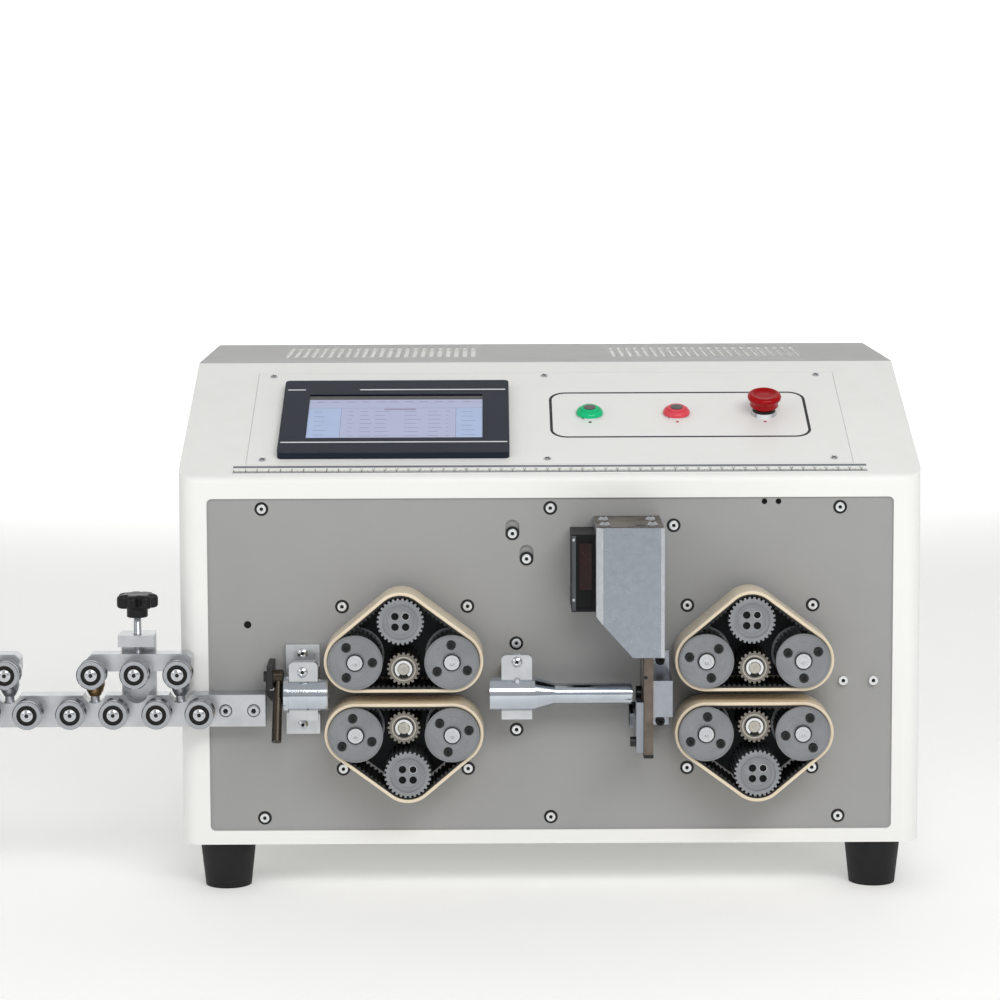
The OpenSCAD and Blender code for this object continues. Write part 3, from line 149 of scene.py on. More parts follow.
def lobed(profile, lobes, depth, steps=126):
    """Revolves (height, radius, share) points about z with valleys: r - share * depth * sin^4 of a."""
    p = np.asarray(profile, float)
    a = np.arange(steps) * 2 * np.pi / steps
    valley = depth * np.sin(lobes * a / 2) ** 4
    r = p[:, 1:2] - p[:, 2:3] * valley
    grid = np.stack([r * np.cos(a), r * np.sin(a), np.repeat(p[:, :1], steps, 1)], -1)
    return grid.reshape(-1, 3), quads(len(p), steps, False, True)


def open_ring(r0, r1, z0, z1, gap, steps=40):
    """Ring open over a gap in degrees at the bottom: a box section turned, and drawn in at both ends."""
    ends_twice = np.clip(np.arange(-1, steps + 1), 0, steps - 1)
    a = np.radians(np.linspace(-90 + gap / 2, 270 - gap / 2, steps))[ends_twice]
    section = np.array([(r0, z0), (r1, z0), (r1, z1), (r0, z1)])
    p = np.repeat(section[None], steps + 2, 0)
    p[[0, -1]] = section.mean(0)
    grid = np.stack([p[..., 0] * np.cos(a)[:, None], p[..., 0] * np.sin(a)[:, None], p[..., 1]], -1)
    return grid.reshape(-1, 3), quads(steps + 2, 4, False, True)


def ribbon(line, width, low, high):
    """Closed band of one width along a closed flat line: the line moved to both sides, at two heights."""
    ahead = np.roll(line, -1, 0) - np.roll(line, 1, 0)
    ahead /= np.linalg.norm(ahead, axis=1)[:, None]
    side = np.stack([-ahead[:, 1], ahead[:, 0]], 1) * width / 2
    ring = np.stack([line - side, line + side, line + side, line - side], 1)
    z = np.broadcast_to(np.array([low, low, high, high]), ring.shape[:2])
    return np.concatenate([ring, z[..., None]], -1).reshape(-1, 3), quads(len(line), 4, True, True)


def soft_frame(x0, y0, x1, y1, r, n=10):
    """Outline of a rectangle whose corners are quarter circles of radius r."""
    a = np.linspace(0, np.pi / 2, n) + np.arange(4)[:, None] * np.pi / 2
    x = np.array([x1 - r, x0 + r, x0 + r, x1 - r])[:, None]
    y = np.array([y1 - r, y1 - r, y0 + r, y0 + r])[:, None]
    return np.stack([x + r * np.cos(a), y + r * np.sin(a)], -1).reshape(-1, 2)


def rounded(half_w, half_h, r, n=5):
    """Closed profile of a bar with rounded corners, about its middle."""
    return soft_frame(-half_w, -half_h, half_w, half_h, r, n)


def many(shape, spots, way=UP, turns=None):
    """Copies of one shape at each spot: turned about its own z, laid along the directions, then moved."""
    v, f = shape
    spots = np.asarray(spots, float).reshape(-1, 3)
    a = np.radians(np.zeros(len(spots)) if turns is None else np.asarray(turns, float))
    x = v[None, :, 0] * np.cos(a)[:, None] - v[None, :, 1] * np.sin(a)[:, None]
    y = v[None, :, 0] * np.sin(a)[:, None] + v[None, :, 1] * np.cos(a)[:, None]
    z = np.broadcast_to(v[None, :, 2], x.shape)
    out = np.stack([x, y, z], -1) @ way + spots[:, None, :]
    faces = f[None] + len(v) * np.arange(len(spots))[:, None, None]
    return out.reshape(-1, 3), faces.reshape(-1, f.shape[1])


def linked(name, data):
    """New object in the scene."""
    obj = bpy.data.objects.new(name, data)
    bpy.context.scene.collection.objects.link(obj)
    return obj


def piece(name, body, layers, replaced=(), sharp=35.0):
    """One object from (surface, finish) layers in machine millimetres, facing outwards, riding on a body."""
    mesh = bpy.data.meshes.new(name)
    points, faces, marks, start = [], [], [], 0
    for k, ((v, f), finish) in enumerate(layers):
        points.append(row(v))
        faces += (f + start).tolist()
        marks.append(np.full(len(f), k))
        start += len(v)
        mesh.materials.append(finish)
    mesh.from_pydata(np.concatenate(points), [], faces)
    mesh.polygons.foreach_set("material_index", np.concatenate(marks))
    work = bmesh.new()
    work.from_mesh(mesh)
    bmesh.ops.remove_doubles(work, verts=work.verts, dist=1e-7)
    bmesh.ops.dissolve_degenerate(work, edges=work.edges, dist=1e-8)
    bmesh.ops.recalc_face_normals(work, faces=work.faces)
    work.to_mesh(mesh)
    work.free()
    mesh.polygons.foreach_set("use_smooth", np.ones(len(mesh.polygons), bool))
    mesh.set_sharp_from_angle(angle=np.radians(sharp))
    mesh.update()
    obj = linked(name, mesh)
    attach(obj, body)
    if replaced:
        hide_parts(*replaced)


# Small turned parts


def socket_head(r, h, key_r, depth):
    """Cap screw: a turned drum with a rounded rim and a hexagon socket whose wall follows six flats."""
    p = [(0, 0), (0, r), (h - 0.35, r), (h - 0.1, r - 0.1), (h, r - 0.4), (h, key_r + 0.5)]
    inner = [(h - 0.15, key_r), (h - depth, key_r), (h - depth, 0)]
    return turned(p + inner, 36, [6, 7])


def dome_head(r, h, key_r, depth):
    """Button screw: a cap whose height falls with the square of the radius, with a hexagon socket."""
    t = np.linspace(1, key_r / r + 0.12, 7)
    cap = [(h * (1 - 0.8 * s * s), r * s) for s in t]
    inner = [(h * 0.7, key_r), (h - depth, key_r), (h - depth, 0)]
    return turned([(-0.4, 0), (-0.4, r)] + cap + inner, 36, [9, 10])


def cross_head(r, h):
    """Pan screw: a low dome turned about z; its slots are laid over it elsewhere as dark bars of painted
    shade.
    """
    t = np.linspace(1, 0, 7)
    return turned([(-0.3, 0), (-0.3, r)] + [(h * (1 - 0.7 * s * s), r * s) for s in t], 28)


def ring(r0, r1, z0, z1, soft=0.15):
    """Flat ring between two radii with eased edges."""
    p = [(z0, r0), (z0, r1), (z1 - soft, r1), (z1, r1 - soft), (z1, r0 + soft), (z1 - soft, r0), (z0, r0)]
    return turned(p, 48)


# Shared effects of the finishes


def effect(name, build, **inputs):
    """Shader group that turns a place into a mask: named inputs with defaults, and one output."""
    tree = bpy.data.node_groups.new(name, "ShaderNodeTree")
    sockets = tree.interface
    sockets.new_socket("Vector", in_out="INPUT", socket_type="NodeSocketVector")
    for label, default in inputs.items():
        kind = "NodeSocketVector" if np.ndim(default) else "NodeSocketFloat"
        sockets.new_socket(label, in_out="INPUT", socket_type=kind).default_value = default
    sockets.new_socket("Mask", in_out="OUTPUT", socket_type="NodeSocketFloat")
    mask = build(tree, tree.nodes.new("NodeGroupInput").outputs)
    tree.links.new(mask, tree.nodes.new("NodeGroupOutput").inputs["Mask"])
    return tree


def node(tree, kind, links=(), **settings):
    """Adds a node: settings are its own, and links give each input a value or another node's output."""
    n = tree.nodes.new(kind)
    for key, value in settings.items():
        setattr(n, key, value)
    for key, value in dict(links).items():
        if isinstance(value, bpy.types.NodeSocket):
            tree.links.new(value, n.inputs[key])
        else:
            n.inputs[key].default_value = value
    return n


def scalar(tree, operation, *values):
    """Maths node on up to three values."""
    return node(tree, "ShaderNodeMath", enumerate(values), operation=operation).outputs[0]


def vector(tree, operation, *values):
    """Vector maths node on up to two vectors."""
    return node(tree, "ShaderNodeVectorMath", enumerate(values), operation=operation).outputs


def noise(tree, place, scale, detail, rough=0.5):
    """Cloudy pattern between 0 and 1."""
    links = {"Vector": place, "Scale": scale, "Detail": detail, "Roughness": rough}
    return node(tree, "ShaderNodeTexNoise", links).outputs["Fac"]


def stretch(tree, value, low, high):
    """Brings the values between low and high to between 0 and 1."""
    links = {"Value": value, "From Min": low, "From Max": high}
    return node(tree, "ShaderNodeMapRange", links).outputs["Result"]


def speckle(t, i):
    """Grain: cloudy noise, stretched about its middle."""
    fine = noise(t, i["Vector"], i["Scale"], 5.0, 0.6)
    return stretch(t, fine, scalar(t, "SUBTRACT", 0.5, i["Spread"]), scalar(t, "ADD", 0.5, i["Spread"]))


def brushing(t, i):
    """Brush lines: noise over a place that is drawn out along one way."""
    drawn = vector(t, "MULTIPLY", i["Vector"], i["Along"])[0]
    return stretch(t, noise(t, drawn, 1.0, 6.0, 0.7), 0.3, 0.7)


def lathe_rings(t, i):
    """Turning marks: noise over the distance from an axis plus a share of the way along it."""
    along = vector(t, "DOT_PRODUCT", i["Vector"], i["Axis"])["Value"]
    back = node(t, "ShaderNodeVectorMath", {0: i["Axis"], "Scale": along}, operation="SCALE").outputs[0]
    reach = vector(t, "LENGTH", vector(t, "SUBTRACT", i["Vector"], back)[0])["Value"]
    both = scalar(t, "ADD", reach, scalar(t, "MULTIPLY", along, 0.7))
    links = {"W": scalar(t, "MULTIPLY", both, i["Pitch"]), "Scale": 1.0, "Detail": 3.0}
    lines = node(t, "ShaderNodeTexNoise", links, noise_dimensions="1D").outputs["Fac"]
    return stretch(t, lines, 0.3, 0.7)


def settled_dust(t, i):
    """Dust: clouds, only where the surface looks up."""
    normal = node(t, "ShaderNodeNewGeometry").outputs["Normal"]
    up = node(t, "ShaderNodeSeparateXYZ", {0: normal}).outputs["Z"]
    cloud = stretch(t, noise(t, i["Vector"], 45.0, 6.0), 0.35, 0.75)
    return scalar(t, "MULTIPLY", scalar(t, "MULTIPLY", stretch(t, up, 0.2, 1.0), cloud), i["Amount"])


def zone(t, i):
    """Box: 1 where a place lies between two corners on all three axes."""
    above = vector(t, "SUBTRACT", i["Vector"], i["Low"])[0]
    below = vector(t, "SUBTRACT", i["High"], i["Vector"])[0]
    part = node(t, "ShaderNodeSeparateXYZ", {0: vector(t, "MINIMUM", above, below)[0]}).outputs
    least = scalar(t, "MINIMUM", scalar(t, "MINIMUM", part["X"], part["Y"]), part["Z"])
    return scalar(t, "GREATER_THAN", least, 0.0)


def make_effects():
    """The shared groups, each built once."""
    return {
        "speckle": effect("Speckle", speckle, Scale=500.0, Spread=0.25),
        "brushing": effect("Brushing", brushing, Along=(1.0, 1.0, 1.0)),
        "rings": effect("Lathe rings", lathe_rings, Axis=(0.0, 1.0, 0.0), Pitch=2500.0),
        "dust": effect("Settled dust", settled_dust, Amount=0.3),
        "zone": effect("Zone", zone, Low=(0.0, 0.0, 0.0), High=(1.0, 1.0, 1.0)),
    }


EFFECTS = {}
FINISHES = {}
DUST = (0.62, 0.6, 0.56, 1.0)
SECOND_SHADE = 0.86
RELIEF = 0.0004


def masked(tree, name, place, **values):
    """Places a shared effect in a material and gives its mask."""
    return node(tree, "ShaderNodeGroup", {"Vector": place, **values}, node_tree=EFFECTS[name]).outputs["Mask"]


def blend(tree, mask, first, second, kind="RGBA"):
    """Mix of two colours or two values by a mask."""
    a, b, out = (6, 7, 2) if kind == "RGBA" else (2, 3, 0)
    return node(tree, "ShaderNodeMix", {0: mask, a: first, b: second}, data_type=kind).outputs[out]


def shade_pair(base, tint=SECOND_SHADE):
    """A colour and its second shade: each a code or its parts, and the second also a share of the first."""
    first = np.array(linear(base) if isinstance(base, str) else base)
    second = linear(tint) if isinstance(tint, str) else tint if np.ndim(tint) else first * tint
    return (*first, 1.0), (*second, 1.0)


def finish(name, base, tint=SECOND_SHADE, rough=(0.35, 0.5), metal=0.0, effect_name="speckle", scale=700.0,
           along=None, centre=None, axis=(0.0, 1.0, 0.0), bump=0.06, coat=0.0, dust=0.0, glow=0.0,
           mottle=30.0, spec=0.5, zones=()):
    """Material: a pattern rules roughness and relief, a broad mottle mixes two shades, dust lies on top.

    A zone gives another colour, roughness and metal inside a box: low, high, colour, roughness, metal.
    """
    if name in FINISHES:
        return FINISHES[name]
    if not EFFECTS:
        EFFECTS.update(make_effects())
    mat = bpy.data.materials.new(name)
    mat.use_nodes = True
    t = mat.node_tree
    shader = t.nodes["Principled BSDF"].inputs
    where = place = node(t, "ShaderNodeTexCoord").outputs["Object"]
    if centre is not None:
        links = {"Vector": where, "Location": tuple(-np.asarray(centre))}
        place = node(t, "ShaderNodeMapping", links).outputs[0]
    own = {"speckle": {"Scale": scale}, "brushing": {"Along": along}, "rings": {"Axis": axis, "Pitch": scale}}
    pattern = masked(t, effect_name, place, **own[effect_name])
    broad = masked(t, "speckle", place, Scale=mottle)
    colour = blend(t, broad, *shade_pair(base, tint))
    links = {"Value": pattern, "To Min": rough[0], "To Max": rough[1]}
    dull, plated = node(t, "ShaderNodeMapRange", links).outputs["Result"], metal
    for low, high, shade, zone_rough, zone_metal in zones:
        inside = masked(t, "zone", where, Low=row(low), High=row(high))
        colour = blend(t, inside, colour, blend(t, broad, *shade_pair(shade)))
        dull = blend(t, inside, dull, zone_rough, "FLOAT")
        plated = blend(t, inside, plated, zone_metal, "FLOAT")
    if dust:
        colour = blend(t, masked(t, "dust", place, Amount=dust), colour, DUST)
    t.links.new(colour, shader["Base Color"])
    if glow:
        t.links.new(colour, shader["Emission Color"])
        shader["Emission Strength"].default_value = glow
    t.links.new(dull, shader["Roughness"])
    relief = node(t, "ShaderNodeBump", {"Strength": bump, "Distance": RELIEF, "Height": pattern})
    t.links.new(relief.outputs["Normal"], shader["Normal"])
    if zones:
        t.links.new(plated, shader["Metallic"])
    else:
        shader["Metallic"].default_value = metal
    shader["Coat Weight"].default_value = coat
    shader["Specular IOR Level"].default_value = spec
    FINISHES[name] = mat
    return mat


def worn(name):
    """Finish that a solid already has."""
    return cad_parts[name].material_slots[0].material


# Sizes and colours that a user would change


def tone(label, code, about):
    """Colour property with its default from a #rrggbb code."""
    return FloatVectorProperty(name=label, description=about, subtype="COLOR", size=3, min=0.0, max=1.0,
                               default=linear(code))


def span(label, mm, about):
    """Length property, given in millimetres and held in metres."""
    return FloatProperty(name=label, description=about, subtype="DISTANCE", unit="LENGTH", min=0.0,
                         default=mm * MM)


class WireMachineColours(bpy.types.PropertyGroup):
    """Colours of the painted, moulded and printed surfaces"""

    cabinet: tone("Cabinet", "#f0f0ed", "Powder coat of the cabinet")
    panel: tone("Front panel", "#9e9e9d", "Matte paint of the front panel")
    cover: tone("Belt cover", "#e6d8bf", "Outer layer of the feed belts")
    core: tone("Belt core", "#0c0c0c", "Toothed inner layer of the feed belts")
    housing: tone("Screen housing", "#111a29", "Moulded housing of the touch screen")
    display: tone("Display", "#9fa5c4", "Lit area of the touch screen")
    start: tone("Start button", "#12bd7c", "Ring of the start button")
    stop: tone("Stop button", "#dd4a58", "Ring of the stop button")
    emergency: tone("Emergency stop", "#a80008", "Head of the emergency stop")
    print_ink: tone("Print", "#08090a", "Ink of the lines on the control plate")


class WireMachineSizes(bpy.types.PropertyGroup):
    """Sizes of the detail pieces"""

    belt_round: span("Belt rounding", 1.1, "Radius of the belt cover's outer edges")
    belt_crown: span("Belt crown", 0.25, "Rise of the belt cover at its middle")
    belt_tooth: span("Belt tooth", 1.5, "Height of the teeth inside the belts")
    tooth_pitch: span("Tooth pitch", 4.3, "Spacing of the belt teeth")
    line_width: span("Outline width", 2.5, "Width of the line round the buttons")
    ink: span("Ink thickness", 0.06, "Height of printed lines above their plate")
    number_height: span("Number height", 3.4, "Height of the numbers on the ruler")
    number_step: IntProperty(name="Number step", description="Centimetres between numbers", default=1, min=1)


def colours():
    """The scene's colour settings."""
    return bpy.context.scene.wire_machine_colours


def sizes():
    """The scene's size settings."""
    return bpy.context.scene.wire_machine_sizes


def steel(name="bright_steel", shade="#c9ccd0", rough=(0.16, 0.3), bump=0.03):
    """Bright plated steel with fine speckle."""
    return finish(name, shade, rough=rough, metal=1.0, scale=1600.0, bump=bump)


def black_oxide():
    """Blackened screw steel."""
    return finish("black_oxide", "#08090a", "#101113", rough=(0.22, 0.36), scale=1500.0, spec=0.4)


def ink_finish():
    """Printed dark ink."""
    return finish("print_ink", colours().print_ink, rough=(0.4, 0.55), scale=1200.0, bump=0.02)


def dark_hole():
    """Unlit inside of a hole."""
    return finish("hole_black", "#0a0a0b", rough=(0.7, 0.9), scale=900.0)


# Boxes of a solid that look different, from corner to corner: some the part's own colour, some painted light
# or shade
# Painted shade: the cabinet's white top sheet is coloured grey, as it lies in less light than the front
SHADED_TOP_SHEET = (-330.0, 60.0, 442.3), (330.0, 445.0, 445.0)
# Painted highlights: the cutter cover's left bevel and right edge are coloured lighter where light catches
# them
COVER_BEVEL_HIGHLIGHT = (36.5, -90.0, 200.0), (42.6, -69.3, 340.0)
COVER_EDGE_HIGHLIGHT = (91.0, -90.0, 200.0), (96.0, -69.3, 340.0)
LEVER_BRACKET = (-300.0, -120.0, 100.0), (-228.3, 60.0, 300.0)
BAR_HEADS = (-500.0, -60.0, 100.0), (-240.0, -35.0, 260.0)
OUTLET_BLOCK = (85.02, -120.0, 100.0), (130.0, 60.0, 260.0)
KNOB_END = (50.0, -110.0, 120.0), (70.98, -40.0, 260.0)
MAINS_SOCKET = (-400.0, 430.5, 0.0), (400.0, 460.0, 460.0)

# Turned pulleys and rollers by the end of their names: two shades, roughness, metal, ring pitch, relief
FLANGED_LOOK = "#96989b", "#828488", (0.26, 0.42), 0.9, 1500.0, 0.25
TURNED_LOOKS = (
    ("left_pulley", FLANGED_LOOK),
    ("right_pulley", FLANGED_LOOK),
    ("tension_pulley", ("#9d9fa2", "#898b8e", (0.32, 0.5), 0.85, 1300.0, 0.1)),
    ("support_pulley", ("#8f8a82", "#746f68", (0.22, 0.4), 1.0, 1500.0, 0.06)),
    ("", ("#b4b7bb", "#9a9da2", (0.1, 0.22), 1.0, 1700.0, 0.04)),
)


class WIREMACHINE_OT_solids(bpy.types.Operator):
    """Gives every solid its finish"""

    bl_idname = "wire_machine.solids"
    bl_label = "Finish the solids"

    def execute(self, context):
        """Chooses a finish for each slot of each solid and puts it there."""
        c = colours()
        white = np.array(c.cabinet)
        black = "#0d0e0f"
        brushed = {"rough": (0.26, 0.42), "metal": 0.9, "effect_name": "brushing", "bump": 0.08,
                   "mottle": 40.0}
        # The grey zone on the top sheet of the white coat is painted shade
        coat = finish("white_powder_coat", c.cabinet, 0.965, (0.38, 0.55), scale=1900.0, bump=0.1, dust=0.1,
                      mottle=6.0, zones=[(*SHADED_TOP_SHEET, "#a8a8a7", 0.5, 0.0)])
        moulded = finish("black_moulding", "#0a0b0c", "#111214", (0.35, 0.55), scale=1700.0, bump=0.1,
                         dust=0.03, spec=0.2)
        alu = finish("brushed_aluminium", "#d3d5d8", "#b9bcc0", along=(40.0, 900.0, 1500.0),
                     zones=[(*BAR_HEADS, "#d2d4d7", 0.18, 1.0)], **brushed)
        block = finish("milled_steel", "#a3a8af", "#888d94", (0.16, 0.3), 1.0, "brushing",
                       along=(1200.0, 1200.0, 50.0), bump=0.05, zones=[(*KNOB_END, black, 0.4, 0.0)])
        dark = finish("dark_frame", "#232527", "#303336", (0.45, 0.65), 0.5, scale=1100.0, bump=0.1)
        table = {
            "cabinet_shell": coat, "base_pan": coat, "sensor_box": moulded, "panel_screws": steel(),
            "straightener_bar": alu, "inner_pressure_plate": alu, "outer_pressure_plate": alu,
            "upper_feed_frame": dark, "lower_feed_frame": dark, "upper_belts": dark, "lower_belts": dark,
            "inner_knob": moulded, "outer_knob": moulded,
            "upper_blade_carriage": block, "lower_blade_carriage": block,
            "button_collars": steel("button_chrome", "#d4d6d9", (0.06, 0.14), 0.01),
            "control_plate": finish("plate_white", white * 0.985, white * 0.955, (0.3, 0.42), scale=900.0,
                                    bump=0.03, dust=0.05, mottle=8.0),
            "front_panel": finish("grey_panel_paint", c.panel, 0.93, (0.5, 0.68), scale=2200.0, bump=0.14,
                                  mottle=9.0),
            "feet": finish("foot_rubber", "#131314", "#1e1e20", (0.5, 0.7), scale=1400.0, bump=0.15,
                           dust=0.12, spec=0.3),
            "touch_screen": finish("screen_housing", c.housing, 1.2, (0.34, 0.46), scale=2600.0, bump=0.05,
                                   spec=0.25),
            # The cutter cover's lighter bevel and edge zones are painted highlights
            "cutter_cover": finish("cast_cover", "#a0a6af", "#939aa3", (0.22, 0.42), 0.9, scale=260.0,
                                   bump=0.14, dust=0.06, mottle=160.0,
                                   zones=[(*COVER_BEVEL_HIGHLIGHT, "#d5d8dc", 0.22, 1.0),
                                          (*COVER_EDGE_HIGHLIGHT, "#c4c8cd", 0.25, 1.0)]),
            "tube_clamps": finish("clamp_aluminium", "#d6d8da", "#bcbfc2", along=(900.0, 900.0, 60.0),
                                  zones=[(*LEVER_BRACKET, black, 0.45, 0.0)], **brushed),
            "guide_tubes": finish("ground_tube", "#ccd2d9", "#b4bbc4", (0.06, 0.16), 1.0, "rings", 1800.0,
                                  axis=(1.0, 0.0, 0.0), bump=0.04, centre=row([0.0, WIRE_Y, WIRE_Z])),
            "blade_rail": finish("brown_steel", "#7c7168", "#5d544c", (0.36, 0.58), 0.8, scale=900.0,
                                 bump=0.14, mottle=120.0, zones=[(*OUTLET_BLOCK, "#a2a7ae", 0.2, 1.0)]),
            "inner_modules": finish("module_steel", "#9fa3a8", "#8b8f94", (0.3, 0.5), 0.9, scale=900.0,
                                    zones=[(*MAINS_SOCKET, black, 0.5, 0.0)]),
            "inlet_lever": finish("lever_bronze", "#4d463d", "#3a352f", (0.22, 0.36), 1.0, scale=1300.0,
                                  bump=0.05),
            "start_button": finish("start_lens", "#3a2c22", "#2b201a", (0.12, 0.2), scale=800.0, coat=0.8),
            "stop_button": finish("stop_lens", "#2e2426", "#1f1819", (0.12, 0.2), scale=800.0, coat=0.8),
            "emergency_stop": finish("emergency_red", c.emergency, 0.75, (0.1, 0.18), scale=900.0, bump=0.02,
                                     spec=0.18),
            "ruler": finish("ruler_white", "#f1f1ee", "#e6e6e2", (0.3, 0.4), scale=700.0, bump=0.02),
        }
        for name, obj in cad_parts.items():
            chosen = table.get(name)
            if chosen is None:
                kind = next(look for ending, look in TURNED_LOOKS if name.endswith(ending))
                base, tint, rough, metal, pitch, bump = kind
                chosen = finish("turned_" + name, base, tint, rough, metal, "rings", pitch, bump=bump,
                                centre=row(hub(name)))
            for slot in obj.material_slots:
                slot.material = chosen
        return {"FINISHED"}


def screws(head, size, spots, way, metal, turns=None):
    """Layers of equal screws: the heads, and a dark disc low in each hexagon socket as its painted shade."""
    _, h, key_r, depth = size
    r, low, high = key_r - 0.04, h - depth, h - depth * 0.35
    # Painted shade: a dark disc low in each socket stands in for the shade inside it
    socket_shade = turned([(low, 0), (low, r), (high, r), (high, 0)], 36, [1, 2])
    return [(many(head(*size), spots, way, turns), metal), (many(socket_shade, spots, way, turns), dark_hole())]


def slanted(shape):
    """A surface given as sideways, up the slope and out of it, laid on the sloped face."""
    return shape[0] @ SLOPE + SLANT, shape[1]


def slope_spots(points):
    """Places given as sideways, up the slope and out of it, in machine millimetres."""
    return np.asarray(points, float) @ SLOPE + SLANT


def wheel_loop(centres, radii, steps, between):
    """Closed line round three wheels: arcs joined by the outer tangents, with outward normals.

    The third result is each point's way along its straight stretch, and the fourth the stretch's length, both
    0 on arcs.
    """
    lines, ways, run, length = [], [], [], []
    count = len(centres)
    ahead = []
    for k in range(count):
        after = (k + 1) % count
        gap = centres[after] - centres[k]
        far = np.linalg.norm(gap)
        u, s = gap / far, (radii[k] - radii[after]) / far
        ahead.append(np.array([u[1], -u[0]]) * np.sqrt(1 - s * s) + u * s)
    for k in range(count):
        a0 = np.arctan2(ahead[k - 1][1], ahead[k - 1][0])
        turn = (np.arctan2(ahead[k][1], ahead[k][0]) - a0) % (2 * np.pi)
        a = a0 + turn * np.linspace(0, 1, steps)
        out = np.stack([np.cos(a), np.sin(a)], 1)
        lines.append(centres[k] + radii[k] * out)
        ways.append(out)
        run.append(np.zeros(steps))
        length.append(np.zeros(steps))
        after = (k + 1) % count
        start = centres[k] + radii[k] * ahead[k]
        end = centres[after] + radii[after] * ahead[k]
        reach = np.linalg.norm(end - start)
        t = np.linspace(0, 1, between + 2)[1:-1]
        lines.append(start + t[:, None] * (end - start))
        ways.append(np.repeat(ahead[k][None], between, 0))
        run.append(t * reach)
        length.append(np.full(between, reach))
    return np.concatenate(lines), np.concatenate(ways), np.concatenate(run), np.concatenate(length)


WHEEL_ORDER = {"upper": ("left", "right", "tension"), "lower": ("right", "left", "tension")}
LOOP_RADII = (22.1, 22.1, 20.4)
CORE_T = 1.4
COVER_T = 3.0
TOOTH_MARGIN = 9.0
LAYER_GAP = 0.05
CORE_INSET = 0.15
CORE_ROUND = 0.3
TOOTH_SLOPE = 1.8
TOOTH_LIFT = 0.75

# Points along the belts: on each arc and on each straight stretch
COVER_STEPS = (30, 8)
CORE_STEPS = (24, 150)

BELT_SHADE = np.array([0.93, 0.9, 0.86])


class WIREMACHINE_OT_belts(bpy.types.Operator):
    """Makes the feed belts: a rounded cover over a toothed core"""

    bl_idname = "wire_machine.belts"
    bl_label = "Feed belts"

    def execute(self, context):
        """Carries a rounded bar and a toothed bar round the three wheels of each feed unit."""
        s, c = sizes(), colours()
        cover = finish("belt_cover", c.cover, np.array(c.cover) * BELT_SHADE, rough=(0.24, 0.36), scale=500.0,
                       bump=0.04, coat=0.2, mottle=24.0)
        core = finish("belt_core", c.core, 1.6, rough=(0.5, 0.72), scale=1500.0, bump=0.12)
        edge, crown = s.belt_round / MM, s.belt_crown / MM
        tall, pitch = s.belt_tooth / MM, s.tooth_pitch / MM
        for side in SIDES:
            low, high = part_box(side + "_belts")
            y0, y1 = (low.y - HOME[1]) / MM, (high.y - HOME[1]) / MM
            middle, half = (y0 + y1) / 2, (y1 - y0) / 2
            layers = []
            for unit in UNITS:
                wheels = [hub(f"{unit}_{side}_{w}_pulley")[[0, 2]] for w in WHEEL_ORDER[side]]
                line, way, _, _ = wheel_loop(wheels, LOOP_RADII, *COVER_STEPS)
                p = rounded(COVER_T / 2, half, edge, 6)
                dome = np.where(p[:, 0] > 0, crown * (1 - (p[:, 1] / half) ** 2), 0.0)
                off = np.broadcast_to(CORE_T + LAYER_GAP + COVER_T / 2 + p[:, 0] + dome, (len(line), len(p)))
                layers.append((swept(line, way, middle + p[:, 1], off), cover))
                line, way, run, span_len = wheel_loop(wheels, LOOP_RADII, *CORE_STEPS)
                p = rounded(CORE_T / 2, half - CORE_INSET, CORE_ROUND, 3)
                wave = np.cos(2 * np.pi * (run - span_len / 2) / pitch)
                free = (run > TOOTH_MARGIN) & (run < span_len - TOOTH_MARGIN)
                tooth = np.clip(wave * TOOTH_SLOPE + TOOTH_LIFT, 0, 1) * free
                off = CORE_T / 2 + p[None, :, 0] - tall * tooth[:, None] * (p[None, :, 0] < 0)
                layers.append((swept(line, way, middle + p[:, 1], off), core))
            piece(f"{side}_feed_belts", f"{side}_frame", layers, [side + "_belts"])
        return {"FINISHED"}


FLANGE_R = 23.3
SCREW_CIRCLE = 14.8
THIRDS = np.array([0.0, 120.0, 240.0])
FLANGE_TURNS = {"infeed_upper": (90.0, 118.0), "infeed_lower": (111.0, 74.0), "outfeed_upper": (44.0, 58.0),
                "outfeed_lower": (4.0, 24.0)}
HUB_CIRCLE = 6.4
HUB_ANGLES = (45.0, 135.0, 225.0, 315.0)

# Screws: head radius, head height, key radius, socket depth
FLANGE_SCREW = (3.7, 2.3, 1.9, 1.5)
FLANGE_SCREW_TURNS = (11.0, 37.0, 52.0)
FLANGE_SCREW_SINK = 3.5

# Rings: inner and outer radius, foot, head and, where it isn't the usual, the easing of the edges
FLANGE_RIM = (FLANGE_R - 1.6, FLANGE_R - 0.4, -0.1, 0.35, 0.2)
RIM_SINK = 2.0
# Painted shade: a dark ring round the shaft end for the shade in the groove there
SHAFT_GAP_SHADE = (6.5, 7.4, -0.1, 0.12, 0.1)
HUB_RIM = (2.95, 3.5, -0.1, 0.25, 0.1)
TENSION_RIM = (11.0, 12.2, -0.1, 0.5, 0.25)
BEARING_RING = (9.2, 10.6, 0.0, 0.5)
# Painted shade: a dark ring behind the axle clip for the shade in the gap round it
CLIP_BED_SHADE = (4.7, 8.2, -0.35, 0.1, 0.1)
CLIP_RING = (5.2, 7.4, 0.0, 0.7)
CLIP_GAP = 70.0

# Profiles of turned pieces: height and radius
SHAFT_END = [(-0.3, 0), (-0.3, 6.5), (0.05, 6.5), (0.4, 6.1), (0.4, 4.4), (0.15, 4.2), (0.15, 3.2),
             (0.4, 3.0), (0.4, 1.6), (-0.25, 0.5), (-0.28, 0)]
